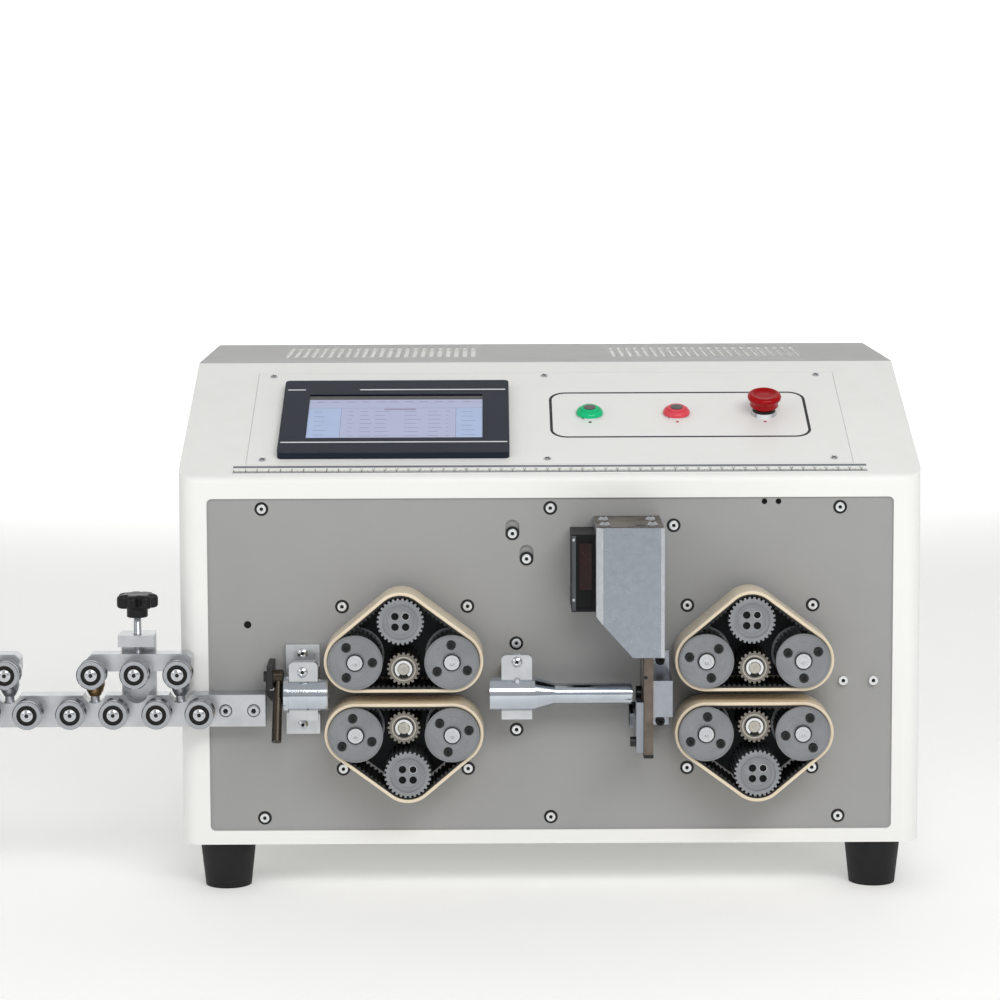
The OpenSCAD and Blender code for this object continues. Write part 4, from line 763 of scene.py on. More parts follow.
# Painted shade: a dark cup set in each hub hole for the shade inside it
HUB_HOLE_SHADE = [(-2.9, 0), (-2.9, 2.9), (-0.1, 2.95), (0.1, 3.2), (0.1, 2.85), (-2.5, 2.6), (-2.5, 0)]
AXLE_END = [(0, 0), (0, 4.9), (0.9, 4.9), (1.2, 4.5), (1.2, 1.5), (0.7, 0.8), (0.7, 0)]
CLIP_OUT = 1.4


def circle_spots(centre, radius, angles, y):
    """Places on a circle in front of a wheel, angles counted clockwise from the top."""
    a = np.radians(angles)
    return np.stack([centre[0] + radius * np.sin(a), np.full(len(a), y), centre[2] + radius * np.cos(a)], 1)


class WIREMACHINE_OT_pulleys(bpy.types.Operator):
    """Adds the screws, shaft ends and rings of the feed pulleys"""

    bl_idname = "wire_machine.pulleys"
    bl_label = "Pulley fittings"

    def execute(self, context):
        """Turned screws and rings, copied on to each pulley."""
        shaft = finish("shaft_end", "#d6d8da", "#c2c5c8", rough=(0.2, 0.34), metal=1.0, scale=1300.0)
        light = steel("hole_rim", "#d0d2d4", (0.2, 0.3))
        clip = steel("clip_steel", "#e2e3e4", (0.15, 0.3))
        bush = finish("bearing_steel", "#c3bfb6", "#a9a59c", rough=(0.2, 0.34), metal=1.0, scale=1400.0)
        end = turned(SHAFT_END)
        cup = turned(HUB_HOLE_SHADE, 28)
        axle = turned(AXLE_END, 32)
        for unit in UNITS:
            for side in SIDES:
                for end_name, turn in zip(("left", "right"), FLANGE_TURNS[f"{unit}_{side}"]):
                    name = f"{unit}_{side}_{end_name}_pulley"
                    at, y = hub(name), face(name)
                    spots = circle_spots(at, SCREW_CIRCLE, THIRDS + turn, y + FLANGE_SCREW_SINK)
                    centre = np.array([[at[0], y, at[2]]])
                    piece(name + "_fittings", name, [
                        *screws(socket_head, FLANGE_SCREW, spots, FRONT, black_oxide(), FLANGE_SCREW_TURNS),
                        (many(end, centre, FRONT), shaft),
                        # Painted shade: a dark ring for the groove round the shaft end
                        (many(ring(*SHAFT_GAP_SHADE), centre, FRONT), dark_hole()),
                        (many(ring(*FLANGE_RIM), centre + [0, RIM_SINK, 0], FRONT), worn(name)),
                    ])
                name = f"{unit}_{side}_tension_pulley"
                at, y = hub(name), face(name)
                spots = circle_spots(at, HUB_CIRCLE, HUB_ANGLES, y)
                piece(name + "_fittings", name, [
                    # Painted shade: dark cups in the hub's holes
                    (many(cup, spots, FRONT), dark_hole()),
                    (many(ring(*HUB_RIM), spots[:1], FRONT), light),
                    (many(ring(*TENSION_RIM), [[at[0], y, at[2]]], FRONT), worn(name))])
                name = f"{unit}_{side}_support_pulley"
                at, y = hub(name), face(name)
                piece(name + "_fittings", name, [
                    (many(ring(*BEARING_RING), [[at[0], y, at[2]]], FRONT), bush)])
                centre = [[at[0], y - CLIP_OUT, at[2]]]
                piece(f"{unit}_{side}_axle_clip", f"{side}_frame", [
                    (many(open_ring(*CLIP_RING, CLIP_GAP), centre, FRONT), clip),
                    # Painted shade: a dark ring behind the clip
                    (many(ring(*CLIP_BED_SHADE), centre, FRONT), dark_hole()),
                    (many(axle, centre, FRONT), bush)])
        return {"FINISHED"}


PLATES = ("inner", "outer")
ROLLERS = [f"lower_roller_{i}" for i in range(1, 9)]
ROLLERS += [f"{g}_upper_roller_{i}" for g in PLATES for i in range(1, 4)]
KNOB_LOBES = 7
KNOB_VALLEY = 4.6
KNOB_HEIGHT = 12.0
KNOB_NECK = 8.0
THREAD_PITCH = 1.0
THREAD_END_R = 3.0
SHANK_R = 3.3
SHANK_IN = 0.5
BAR_Y = -9.5
AXLE_SCREW = (4.6, 1.5, 1.9, 1.2)
AXLE_TURN_STEP = 17.0
SEAL_SINK = 2.6
SEAL_RING = (5.35, 8.65, -0.2, 1.7, 0.4)
POST_BUSH = [(188.6, 4.0), (188.6, 7.6), (188.0, 8.2), (183.4, 8.6), (182.8, 8.2), (178.4, 7.0), (177.8, 6.4),
             (175.2, 5.2), (174.6, 4.6), (174.6, 4.0), (188.6, 4.0)]

# Thread of a knob's screw: share of the pitch and radius
THREAD = ((0.2, 3.38), (0.7, 3.15))

# Grip of a knob: height, radius and share of the valleys
KNOB_GRIP = [(-KNOB_NECK, 3.0, 0), (-KNOB_NECK, 8.5, 0), (-KNOB_NECK + 0.5, 9.0, 0), (-0.3, 9.0, 0),
             (0, 9.4, 0), (0.1, 15.0, 1), (0.7, 16.8, 1), (2.0, 17.8, 1), (8.6, 17.9, 1), (10.4, 17.0, 1),
             (11.5, 15.2, 0.85), (12.0, 12.6, 0.5), (11.9, 9.0, 0.1), (11.6, 4.0, 0), (11.5, 0, 0)]


class WIREMACHINE_OT_rollers(bpy.types.Operator):
    """Adds the bearing seals, axle screws, bushings and knobs of the straightener"""

    bl_idname = "wire_machine.rollers"
    bl_label = "Roller fittings"

    def execute(self, context):
        """A black seal in each roller, a domed screw on each axle, and lobed grips on threaded screws."""
        seal = finish("bearing_seal", "#070708", "#101112", rough=(0.3, 0.45), scale=1500.0, spec=0.3)
        for name in ROLLERS:
            at, y = hub(name), face(name)
            piece(name + "_seal", name,
                  [(many(ring(*SEAL_RING), [[at[0], y + SEAL_SINK, at[2]]], FRONT), seal)])
        groups = [("straightener", "cabinet", ROLLERS[:8])]
        groups += [(f"{g}_plate", f"{g}_pressure_plate", [n for n in ROLLERS if n.startswith(g)])
                   for g in PLATES]
        for label, body, names in groups:
            spots = [(hub(n)[0], face(n), hub(n)[2]) for n in names]
            turns = AXLE_TURN_STEP * np.arange(len(spots))
            piece(label + "_axle_screws", body,
                  screws(dome_head, AXLE_SCREW, spots, FRONT, steel(), turns))
        bronze = finish("bush_bronze", "#a58a62", "#86704f", rough=(0.22, 0.36), metal=1.0, scale=1400.0)
        zinc = finish("bush_zinc", "#b9bbbd", "#9fa1a4", rough=(0.25, 0.4), metal=1.0, scale=1400.0)
        bush = turned(POST_BUSH)
        grip = finish("knob_moulding", "#0b0c0d", "#141517", rough=(0.3, 0.45), scale=1700.0, bump=0.08,
                      spec=0.3)
        for g in PLATES:
            spots = [(hub(f"{g}_upper_roller_{i}")[0], BAR_Y, 0.0) for i in (3, 1)]
            piece(g + "_post_bushes", f"{g}_pressure_plate",
                  [(many(bush, spots[:1]), bronze), (many(bush, spots[1:]), zinc)])
            low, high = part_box(g + "_knob")
            z0, z1 = low.z / MM, high.z / MM
            base = z1 - KNOB_HEIGHT
            threads = int((base - KNOB_NECK - z0) / THREAD_PITCH)
            screw = [(z0, 0), (z0, THREAD_END_R)]
            for k in range(threads):
                screw += [(z0 + (k + share) * THREAD_PITCH, r) for share, r in THREAD]
            shank = base - KNOB_NECK + SHANK_IN
            screw += [(shank, SHANK_R), (shank, 0)]
            middle = hub(g + "_knob")
            piece(g + "_knob_grip", g + "_knob", [
                (many(lobed(KNOB_GRIP, KNOB_LOBES, KNOB_VALLEY), [(middle[0], BAR_Y, base)]), grip),
                (many(turned(screw, 32), [(middle[0], BAR_Y, 0.0)]), steel())], [g + "_knob"])
        return {"FINISHED"}


PANEL_SPOTS = [(x, z) for x in (-248.0, 0.0, 249.0) for z in (64.0, 334.0)]
PANEL_SPOTS += [(u + x, WIRE_Z + z) for u in (-125.5, 172.0) for x in (-54.0, 54.0) for z in (-71.0, 71.0)]
PANEL_SPOTS += [(-29.5, 141.0), (-29.5, 216.5), (106.0, 318.5)]
SLOT_SPOTS = [(-32.6, 312.0), (-20.5, 290.0)]
PROUD_SPOTS = [(252.5, 183.3), (278.5, 183.3)]
PANEL_HOLES = [(-261.0, 233.5, 3.2), (184.0, 339.0, 2.45), (196.0, 339.0, 2.45)]
SINK = 3.0
VENTS_X = (-155.0, 155.0)
VENTS_Y = (266.0, 390.0)
VENTS_HALF = 96.0
TRAY_Z = 439.3
TRAY_T = 1.0
TRAY_ROUND = 6.0
TRAY_LIP = (-4.0, 0.9)
# Painted shadow: a black ring in each counterbore round a panel screw's head
COUNTERBORE_SHADOW = (4.15, 5.9, 0.02, 2.8, 0.25)
PANEL_SCREW = (4.0, 4.1, 1.75, 2.4)
TURN_STEP = 23.0


class WIREMACHINE_OT_panel(bpy.types.Operator):
    """Makes the panel screws, the dark rings round them and the small holes, both painted shade, and the
    trays under the vents
    """

    bl_idname = "wire_machine.panel"
    bl_label = "Panel fittings"

    def execute(self, context):
        """Socket screws with rounded rims in black rings of painted counterbore shadow, dark cups of painted
        shade in the small holes, and folded trays.
        """
        sunk = [(x, PANEL_Y + SINK, z) for x, z in PANEL_SPOTS + SLOT_SPOTS]
        proud = [(x, PANEL_Y, z) for x, z in PROUD_SPOTS]
        bright = steel("panel_screw_steel", "#eceeef", (0.26, 0.42))
        turns = TURN_STEP * np.arange(len(sunk + proud))
        layers = screws(socket_head, PANEL_SCREW, sunk + proud, FRONT, bright, turns)
        piece("panel_socket_screws", "cabinet", layers, ["panel_screws"])
        # Painted shadow: black rings of screw steel stand in for the shade in the counterbores round the sunk
        # heads
        counterbore_shadows = many(ring(*COUNTERBORE_SHADOW), sunk, FRONT)
        layers = [(counterbore_shadows, black_oxide())]
        for x, z, r in PANEL_HOLES:
            # Painted shade: a dark cup set in each small hole for the shade inside it
            cup = turned([(0.05, 0), (0.05, r), (2.4, r), (2.4, r - 0.3), (0.3, r - 0.4), (0.3, 0)], 32)
            layers.append((many(cup, [(x, PANEL_Y + SINK, z)], FRONT), dark_hole()))
        piece("panel_screw_shade_rings", "cabinet", layers)
        tray = finish("tray_white", "#f2f2ef", "#e4e4e0", rough=(0.4, 0.55), scale=1500.0, bump=0.05,
                      dust=0.1)
        layers = []
        for x in VENTS_X:
            line = soft_frame(x - VENTS_HALF, VENTS_Y[0], x + VENTS_HALF, VENTS_Y[1], TRAY_ROUND)
            layers += [(slab(line, TRAY_Z, TRAY_Z + TRAY_T), tray),
                       (ribbon(line, TRAY_T, TRAY_Z + TRAY_LIP[0], TRAY_Z + TRAY_LIP[1]), tray)]
        piece("vent_trays", "cabinet", layers)
        return {"FINISHED"}


BUTTONS_X = (37.5, 115.0, 193.0)
BUTTON_V = 121.0
DOT_V = 104.5
DOT_R = 1.5
OUTLINE = (3.0, 75.5, 231.0, 163.5, 14.0)
PLATE_SCREWS_X = (-249.0, -1.7, 247.0)
PLATE_SCREWS_V = (34.0, 199.5)
PLATE_SCREW_TURNS = np.array([35.0, 20.0, 50.0, 28.0, 42.0, 15.0])
PLATE_SCREW = (3.4, 1.2)
# Painted shade: a dark bar for one arm of a screw's cross slot
SCREW_SLOT_SHADE = (-2.3, -0.32, 0.9, 2.3, 0.32, 1.24)
STOP_LIFT = 8.1
STOP_SHARP = 50.0

# Profiles on the control plate: height and radius, the stop's head counted from its lift
BUTTON_RING = [(1.0, 11.5), (1.0, 12.1), (2.4, 11.9), (3.7, 11.2), (4.6, 10.2), (5.2, 9.2), (5.2, 8.75),
               (3.52, 8.75), (3.52, 10.8), (1.0, 11.5)]
BUTTON_CAP = [(-12, 0), (-12, 8.45), (5.4, 8.45), (6.1, 8.2), (6.6, 7.3), (6.8, 5.8), (6.5, 5.5), (6.5, 0)]
BUTTON_CENTRE = [(6.4, 0), (6.4, 5.4), (6.8, 5.35), (6.9, 5.0), (6.84, 3.0), (6.82, 0)]
STOP_BOOT = [(3.4, 8.9), (3.4, 10.3), (3.8, 10.2), (4.1, 9.8), (5.3, 9.6), (5.3, 8.9), (3.4, 8.9)]
STOP_HEAD = np.array([
    (-14.1, 0), (-14.1, 8.4), (2.0, 8.4), (2.0, 10.5), (0, 10.5), (0, 12.5), (0.4, 12.8), (3.0, 12.5),
    (4.4, 12.7), (5.8, 13.8), (7.0, 14.8), (8.8, 15.0), (10.2, 14.5), (11.2, 13.2), (11.5, 11.6),
    (11.2, 10.3), (10.2, 9.5), (9.7, 8.6), (9.9, 4.0), (10.0, 0)])


class WIREMACHINE_OT_controls(bpy.types.Operator):
    """Adds the printed outline, the buttons, the emergency stop's head and the screws of the control plate"""

    bl_idname = "wire_machine.controls"
    bl_label = "Control plate"

    def execute(self, context):
        """A band of ink along a rounded outline, turned rings and caps, a turned head, and slotted screws."""
        s, c = sizes(), colours()
        thick = s.ink / MM
        outline = ribbon(soft_frame(*OUTLINE), s.line_width / MM, 0.0, thick)
        dot = turned([(0, 0), (0, DOT_R), (thick, DOT_R), (thick, 0)], 24)
        red_ink = finish("print_red", "#b3202c", rough=(0.4, 0.55), scale=1200.0, bump=0.02)
        piece("control_print", "cabinet", [
            (slanted(outline), ink_finish()),
            (many(dot, slope_spots([(BUTTONS_X[0], DOT_V, 0.0)]), SLOPE), ink_finish()),
            (many(dot, slope_spots([(x, DOT_V, 0.0) for x in BUTTONS_X[1:]]), SLOPE), red_ink)])
        bezel, cap, centre = turned(BUTTON_RING, 56), turned(BUTTON_CAP, 56), turned(BUTTON_CENTRE, 48)
        for name, x, shade, slot in (("start", BUTTONS_X[0], c.start, "green_button"),
                                     ("stop", BUTTONS_X[1], c.stop, "red_button")):
            lens = finish(name + "_ring", shade, 0.8, rough=(0.1, 0.18), scale=700.0, bump=0.01, coat=0.1,
                          glow=0.08, spec=0.2)
            spot = slope_spots([(x, BUTTON_V, 0.0)])
            dark = worn(name + "_button")
            piece(name + "_button_ring", "cabinet", [(many(bezel, spot, SLOPE), lens)])
            piece(name + "_button_cap", name + "_button",
                  [(many(cap, spot, SLOPE), lens), (many(centre, spot, SLOPE), dark)], [name + "_button"])
        spot = slope_spots([(BUTTONS_X[2], BUTTON_V, 0.0)])
        boot = many(turned(STOP_BOOT), spot, SLOPE)
        piece("emergency_stop_boot", "cabinet", [(boot, black_oxide())])
        head = many(turned(STOP_HEAD + (STOP_LIFT, 0.0), 64), spot, SLOPE)
        piece("emergency_stop_head", "emergency_stop", [(head, worn("emergency_stop"))],
              ["emergency_stop"], STOP_SHARP)
        head = cross_head(*PLATE_SCREW)
        slot = tiles([SCREW_SLOT_SHADE])
        spots = slope_spots([(x, v, 0.0) for x in PLATE_SCREWS_X for v in PLATE_SCREWS_V])
        piece("plate_screws", "cabinet", [
            (many(head, spots, SLOPE), steel("screw_nickel", "#d9dbdd", (0.2, 0.35))),
            # Painted shade: dark bars stand in for the cross slots of the screws
            (many(slot, spots, SLOPE, PLATE_SCREW_TURNS), dark_hole()),
            (many(slot, spots, SLOPE, PLATE_SCREW_TURNS + 90), dark_hole())])
        return {"FINISHED"}


SCREEN_X = -135.5
SCREEN_V = 107.0
SCREEN_TOP = 6.0
GLASS_TOP = 5.0
SCREEN_HALF = 77.4
SCREEN_FOOT = -42.8
SCREEN_HEAD = 34.0
# Top of the dark strip of painted bezel shadow across the display
BEZEL_SHADOW_HEAD = 42.8
TABLE_HEAD = 17.0
TABLE_SIDES = (-48.0, 54.0)
RULE_W = 0.4
HOUSING_LINES = ((-98.0, -82.0, 52.6), (-33.0, 98.0, 52.6), (-99.0, 99.0, -51.5))
HOUSING_LINE_HALF = 0.9
GROUND, FIELD, MARK = 0.02, 0.04, 0.06
MARK_H = 0.8
HIGHLIGHT = (-10.0, 13.0, 18.0, 16.0)
TITLE_DROP = (6.0, 4.6)

# Bars that stand for words: rows, then columns with their widths
MARK_ROWS = np.arange(-38.0, 14.0, 8.0)
MARK_COLUMNS = ((-42, 6), (-31, 11), (-18, 14), (8, 16), (29, 13), (45, 3))
SIDE_ROWS = np.arange(-36.0, 12.0, 9.0)
SIDE_COLUMNS = (-72.0, 59.0)
SIDE_MARK = 13
HEAD_V = (29.0, 30.3)
HEAD_COLUMNS = np.arange(-70.0, 66.0, 13.0)
HEAD_MARK = 9


class WIREMACHINE_OT_screen(bpy.types.Operator):
    """Adds the lines on the screen's housing and the table it shows"""

    bl_idname = "wire_machine.screen"
    bl_label = "Touch screen"

    def execute(self, context):
        """Thin blocks laid out as rows and columns on the glass."""
        white = finish("housing_line", "#eceef2", rough=(0.35, 0.45), scale=900.0, bump=0.02)
        strips = tiles([[SCREEN_X + a, SCREEN_V + v - HOUSING_LINE_HALF, SCREEN_TOP,
                         SCREEN_X + b, SCREEN_V + v + HOUSING_LINE_HALF, SCREEN_TOP + MARK]
                        for a, b, v in HOUSING_LINES])
        # Painted shadow: a dark glossy strip at the top of the display for the bezel's shade on it
        bezel = finish("display_bezel_shadow", "#0a0b0f", "#12141a", rough=(0.1, 0.16), scale=500.0, coat=0.6)
        lit = finish("display_lit", colours().display, 0.95, rough=(0.1, 0.16), scale=60.0,
                     bump=0.0, coat=0.5, glow=0.25, mottle=14.0)
        shade = {}
        tones = {"head": "#a3a3c0", "side": "#9fb2d6", "rule": "#8a84a4", "mark": "#8c8aa8"}
        for name, code in tones.items():
            shade[name] = finish("display_" + name, code, rough=(0.12, 0.2), scale=300.0, bump=0.0, coat=0.5,
                                 glow=0.2)

        def area(x0, v0, x1, v1, lift):
            """One flat block of the picture, from corner to corner about the screen's middle."""
            return [SCREEN_X + x0, SCREEN_V + v0, GLASS_TOP, SCREEN_X + x1, SCREEN_V + v1, GLASS_TOP + lift]

        rng = np.random.default_rng(7)
        marks = [area(x, v, x + w * rng.uniform(0.6, 1.0), v + MARK_H, MARK)
                 for v in MARK_ROWS for x, w in MARK_COLUMNS]
        marks += [area(x, v, x + SIDE_MARK * rng.uniform(0.5, 1.0), v + MARK_H, MARK)
                  for v in SIDE_ROWS for x in SIDE_COLUMNS]
        marks += [area(x, HEAD_V[0], x + HEAD_MARK * rng.uniform(0.5, 1.0), HEAD_V[1], MARK)
                  for x in HEAD_COLUMNS]
        left, right = TABLE_SIDES
        foot, top, half = SCREEN_FOOT, TABLE_HEAD, SCREEN_HALF
        sides = [area(-half, foot, left, top, FIELD), area(right, foot, half, top, FIELD)]
        rules = [area(left - RULE_W, foot, left, top, MARK), area(right - RULE_W, foot, right, top, MARK),
                 area(-half, top, half, top + RULE_W, MARK), area(*HIGHLIGHT, MARK)]
        ground = area(-half, foot, half, SCREEN_HEAD, GROUND)
        # Painted shadow of the bezel along the top of the display
        brow = area(-half, SCREEN_HEAD, half, BEZEL_SHADOW_HEAD, GROUND)
        title = area(-half, SCREEN_HEAD - TITLE_DROP[0], half, SCREEN_HEAD - TITLE_DROP[1], FIELD)
        piece("screen_picture", "cabinet", [
            (slanted(strips), white),
            (slanted(tiles([ground])), lit),
            (slanted(tiles([brow])), bezel),
            (slanted(tiles([title])), shade["head"]),
            (slanted(tiles(sides)), shade["side"]),
            (slanted(tiles(rules)), shade["rule"]),
            (slanted(tiles(marks)), shade["mark"])])
        return {"FINISHED"}


RULER_V = 7.5
RULER_W = 13.0
RULER_HALF = 273.0
RULER_TOP = 0.8
RULER_START = -RULER_HALF + 1.0
TICKS = 545
TICK_FOOT = RULER_V + 1.8
TICK_T = 0.05
RULER_CM = 55
BAND_W = 3.4
BAND_T = 0.15
EDGE_V = (-0.02, 1.4)
EDGE_T = 0.1

# Ticks at tens, fives and ones
TICK_TALL = (3.4, 2.8, 2.2)
TICK_HALF = (0.4, 0.24, 0.24)

NUMBER_FOOT = RULER_V + 5.7


class WIREMACHINE_OT_ruler(bpy.types.Operator):
    """Adds the ticks, numbers and metal edge of the ruler"""

    bl_idname = "wire_machine.ruler"
    bl_label = "Ruler"

    def execute(self, context):
        """A tick for each millimetre, longer at fives and tens, a number for each step, and two bands."""
        s = sizes()
        edge = finish("ruler_edge", "#8b9098", "#7b8088", rough=(0.25, 0.4), metal=0.8,
                      effect_name="brushing", along=(30.0, 1500.0, 1500.0), bump=0.04)
        k = np.arange(TICKS)
        x = RULER_START + k
        kind = np.where(k % 10 == 0, 0, np.where(k % 5 == 0, 1, 2))
        tall, half = np.array(TICK_TALL)[kind], np.array(TICK_HALF)[kind]
        top, head = RULER_TOP, RULER_V + RULER_W
        one = np.ones(TICKS)
        lows = [x - half, one * TICK_FOOT, one * top]
        highs = [x + half, TICK_FOOT + tall, one * (top + TICK_T)]
        ticks = np.stack(lows + highs, 1)
        band = tiles([[-RULER_HALF, head - BAND_W, top, RULER_HALF, head, top + BAND_T]])
        v0, v1 = (RULER_V + v for v in EDGE_V)
        low = tiles([[-RULER_HALF, v0, top, RULER_HALF, v1, top + EDGE_T]])
        piece("ruler_marks", "cabinet",
              [(slanted(tiles(ticks)), ink_finish()), (slanted(low), edge), (slanted(band), edge)])
        points, faces, start = [], [], 0
        for cm in range(s.number_step, RULER_CM, s.number_step):
            text = bpy.data.curves.new("number", "FONT")
            text.body = str(cm)
            text.size = s.number_height / MM
            text.align_x = "CENTER"
            holder = linked("number", text)
            bpy.context.view_layer.update()
            flat = holder.to_mesh()
            flat.calc_loop_triangles()
            v = np.zeros(len(flat.vertices) * 3)
            flat.vertices.foreach_get("co", v)
            f = np.zeros(len(flat.loop_triangles) * 3, np.int32)
            flat.loop_triangles.foreach_get("vertices", f)
            points.append(v.reshape(-1, 3) + [RULER_START + 10 * cm, NUMBER_FOOT, top + TICK_T])
            faces.append(f.reshape(-1, 3) + start)
            start += len(flat.vertices)
            holder.to_mesh_clear()
            bpy.data.objects.remove(holder)
            bpy.data.curves.remove(text)
        mesh = bpy.data.meshes.new("ruler_numbers")
        mesh.from_pydata(row(slope_spots(np.concatenate(points))), [], np.concatenate(faces).tolist())
        mesh.materials.append(ink_finish())
        obj = linked("ruler_numbers", mesh)
        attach(obj, "cabinet")
        return {"FINISHED"}


COVER_TOP = 326.5
COVER_X = 94.0
COVER_OUT = 77.0
RAIL_X = (77.3, 85.0)
RAIL_LOW = 133.0
RAIL_OUT = 70.0
LID_T = 0.6
# Painted shade: outline of the dark patch that stands for the lid's slot
LID_SLOT_SHADE = (70.0, -63.0, 79.0, -57.5, 2.6)
LID_SCREWS_X = (49.5, 9.5)
LID_SCREWS_OUT = (28.0, 62.0)
LID_SCREW = (4.6, 3.6, 1.7, 1.5)
LID_SCREW_TURNS = (0.0, 20.0, 40.0, 10.0)
RAIL_HOLE_Z = 199.0
OUTLET_SCREW = (4.0, 2.4, 2.0, 1.6)
OUTLET_SPOTS = [(94.3, PANEL_Y - 5.0, 202.0), (94.4, PANEL_Y - 5.0, 148.9)]
WIRE_GUIDE = [(72.2, 4.4), (72.2, 6.2), (72.6, 6.6), (76.4, 6.6), (76.6, 6.2), (76.6, 4.4), (72.2, 4.4)]
SENSOR_X = (17.0, 37.0)
SENSOR_OUT = 48.0
SENSOR_Z = (251.5, 317.5)
WINDOW_Z = (270.0, 310.0)
WINDOW_T = 0.35
STRIP_T = 0.5
SENSOR_SCREWS_Z = (261.7, 312.9)
SENSOR_SCREW = (1.3, 0.7, 0.6, 0.5)


class WIREMACHINE_OT_cutter(bpy.types.Operator):
    """Adds the lid, screws, holes and the sensor's window of the blade unit"""

    bl_idname = "wire_machine.cutter"
    bl_label = "Cutter fittings"

    def execute(self, context):
        """Domed screws on the cover's lid, a dark disc of painted shade for a hole in its bevel, and a window
        and strip on the sensor.
        """
        lid = finish("cover_lid", "#5f564d", "#4b433c", rough=(0.4, 0.6), metal=0.6, scale=700.0, bump=0.1,
                     dust=0.3, mottle=60.0)
        top = COVER_TOP + LID_T
        spots = [(COVER_X - x, PANEL_Y - p, top) for x in LID_SCREWS_X for p in LID_SCREWS_OUT]
        outline = soft_frame(COVER_X - 56.5, PANEL_Y - COVER_OUT + 6.0, COVER_X - 0.5, PANEL_Y - 1.0, 1.5)
        # Painted shade: a thin dark patch on the lid stands in for the slot's shade
        slot = slab(soft_frame(*LID_SLOT_SHADE), top - 0.05, top + 0.06)
        piece("cutter_cover_lid", "cabinet", [
            (slab(outline, COVER_TOP, top), lid), (slot, dark_hole()),
            *screws(dome_head, LID_SCREW, spots, UP, steel(), LID_SCREW_TURNS)])
        x0, x1 = RAIL_X
        rail = soft_frame(x0 - 0.3, PANEL_Y - RAIL_OUT - 0.3, x1 + 0.3, PANEL_Y - 4.0, 1.0)
        guide = many(turned(WIRE_GUIDE, 36), [(0.0, WIRE_Y, WIRE_Z)], WIRE)
        # Painted shade: a flat dark disc stands in for a hole
        hole = turned([(-0.3, 0), (-0.3, 1.5), (0.12, 1.5), (0.12, 0)], 24)
        piece("blade_rail_fittings", "cabinet", [
            (slab(rail, RAIL_LOW - 3.0, RAIL_LOW), black_oxide()), (guide, black_oxide()),
            (many(hole, [(x0 + 1.4, PANEL_Y - RAIL_OUT, RAIL_HOLE_Z)], FRONT), dark_hole()),
            *screws(socket_head, OUTLET_SCREW, OUTLET_SPOTS, FRONT, black_oxide())])
        front = PANEL_Y - SENSOR_OUT
        glass = finish("sensor_window", "#2a0604", "#160302", rough=(0.12, 0.2), scale=300.0, bump=0.0,
                       spec=0.25)
        strip = finish("sensor_strip", "#5c5f63", "#484b4f", rough=(0.3, 0.45), metal=0.6, scale=900.0)
        (x0, x1), (z0, z1) = SENSOR_X, SENSOR_Z
        window = slab(soft_frame(x0 + 6.5, WINDOW_Z[0], x1 - 3.0, WINDOW_Z[1], 1.5), 0.0, WINDOW_T)
        bar = slab(soft_frame(x0 + 0.3, z0 + 1.0, x0 + 3.6, z1 - 1.0, 0.8), 0.0, STRIP_T)
        heads = [(x0 + 1.9, front - STRIP_T, z) for z in SENSOR_SCREWS_Z]
        piece("sensor_face", "cabinet", [
            (many(window, [(0.0, front, 0.0)], FRONT), glass),
            (many(bar, [(0.0, front, 0.0)], FRONT), strip),
            (many(dome_head(*SENSOR_SCREW), heads, FRONT), steel())])
        return {"FINISHED"}


FLANGE_Y = PANEL_Y - 36.0
BAR_SCREW = (4.6, 1.6, 2.3, 1.4)
# Painted shadow: a black ring in the counterbore round each screw head on the bar
BAR_SHADOW_RING = (4.9, 5.6, -0.1, 0.25, 0.1)
CLAMP_FOOT_SCREW = (4.4, 2.2, 1.5, 1.3)
CLAMP_FLANGE_SCREW = (4.6, 2.4, 1.5, 1.3)
LEVER_SCREW = (4.1, 2.6, 1.6, 1.3)


class WIREMACHINE_OT_clamps(bpy.types.Operator):
    """Adds the screws of the tube clamps, the straightener bar and the lever"""

    bl_idname = "wire_machine.clamps"
    bl_label = "Clamp fittings"

    def execute(self, context):
        """Socket screws on the bar, domed screws on the feet, flanges and lever, and a pin under the lip."""
        bar = [(x, PANEL_Y - 20.5, 162.5) for x in (-279.0, -255.0)]
        feet = [(-213.6, PANEL_Y - 5.0, 209.2), (-213.8, PANEL_Y - 5.0, 147.1)]
        flanges = [(-212.0, FLANGE_Y, 198.4), (-29.3, FLANGE_Y, 206.6)]
        lever = [(-239.0, PANEL_Y - 23.4, 184.5)]
        pin = turned([(0.0, 0), (0.0, 2.2), (3.2, 2.2), (3.6, 1.8), (3.6, 0)], 24)
        piece("clamp_screws", "cabinet", [
            *screws(socket_head, BAR_SCREW, bar, FRONT, steel()),
            # Painted shadow: black rings round the bar's screw heads
            (many(ring(*BAR_SHADOW_RING), bar, FRONT), black_oxide()),
            *screws(dome_head, CLAMP_FOOT_SCREW, feet, FRONT, steel(), [10.0, 35.0]),
            *screws(dome_head, CLAMP_FLANGE_SCREW, flanges, FRONT, steel(), [25.0, 5.0]),
            (many(pin, [(-29.0, FLANGE_Y, 190.5)], FRONT), steel()),
            *screws(dome_head, LEVER_SCREW, lever, FRONT, steel())])
        return {"FINISHED"}


# Camera and light


def angle(label, degrees, about):
    """Angle property, given in degrees and held in radians."""
    return FloatProperty(name=label, description=about, subtype="ANGLE", default=np.radians(degrees))


def power(label, watts, about):
    """Lamp power property."""
    return FloatProperty(name=label, description=about, unit="POWER", min=0.0, default=watts)


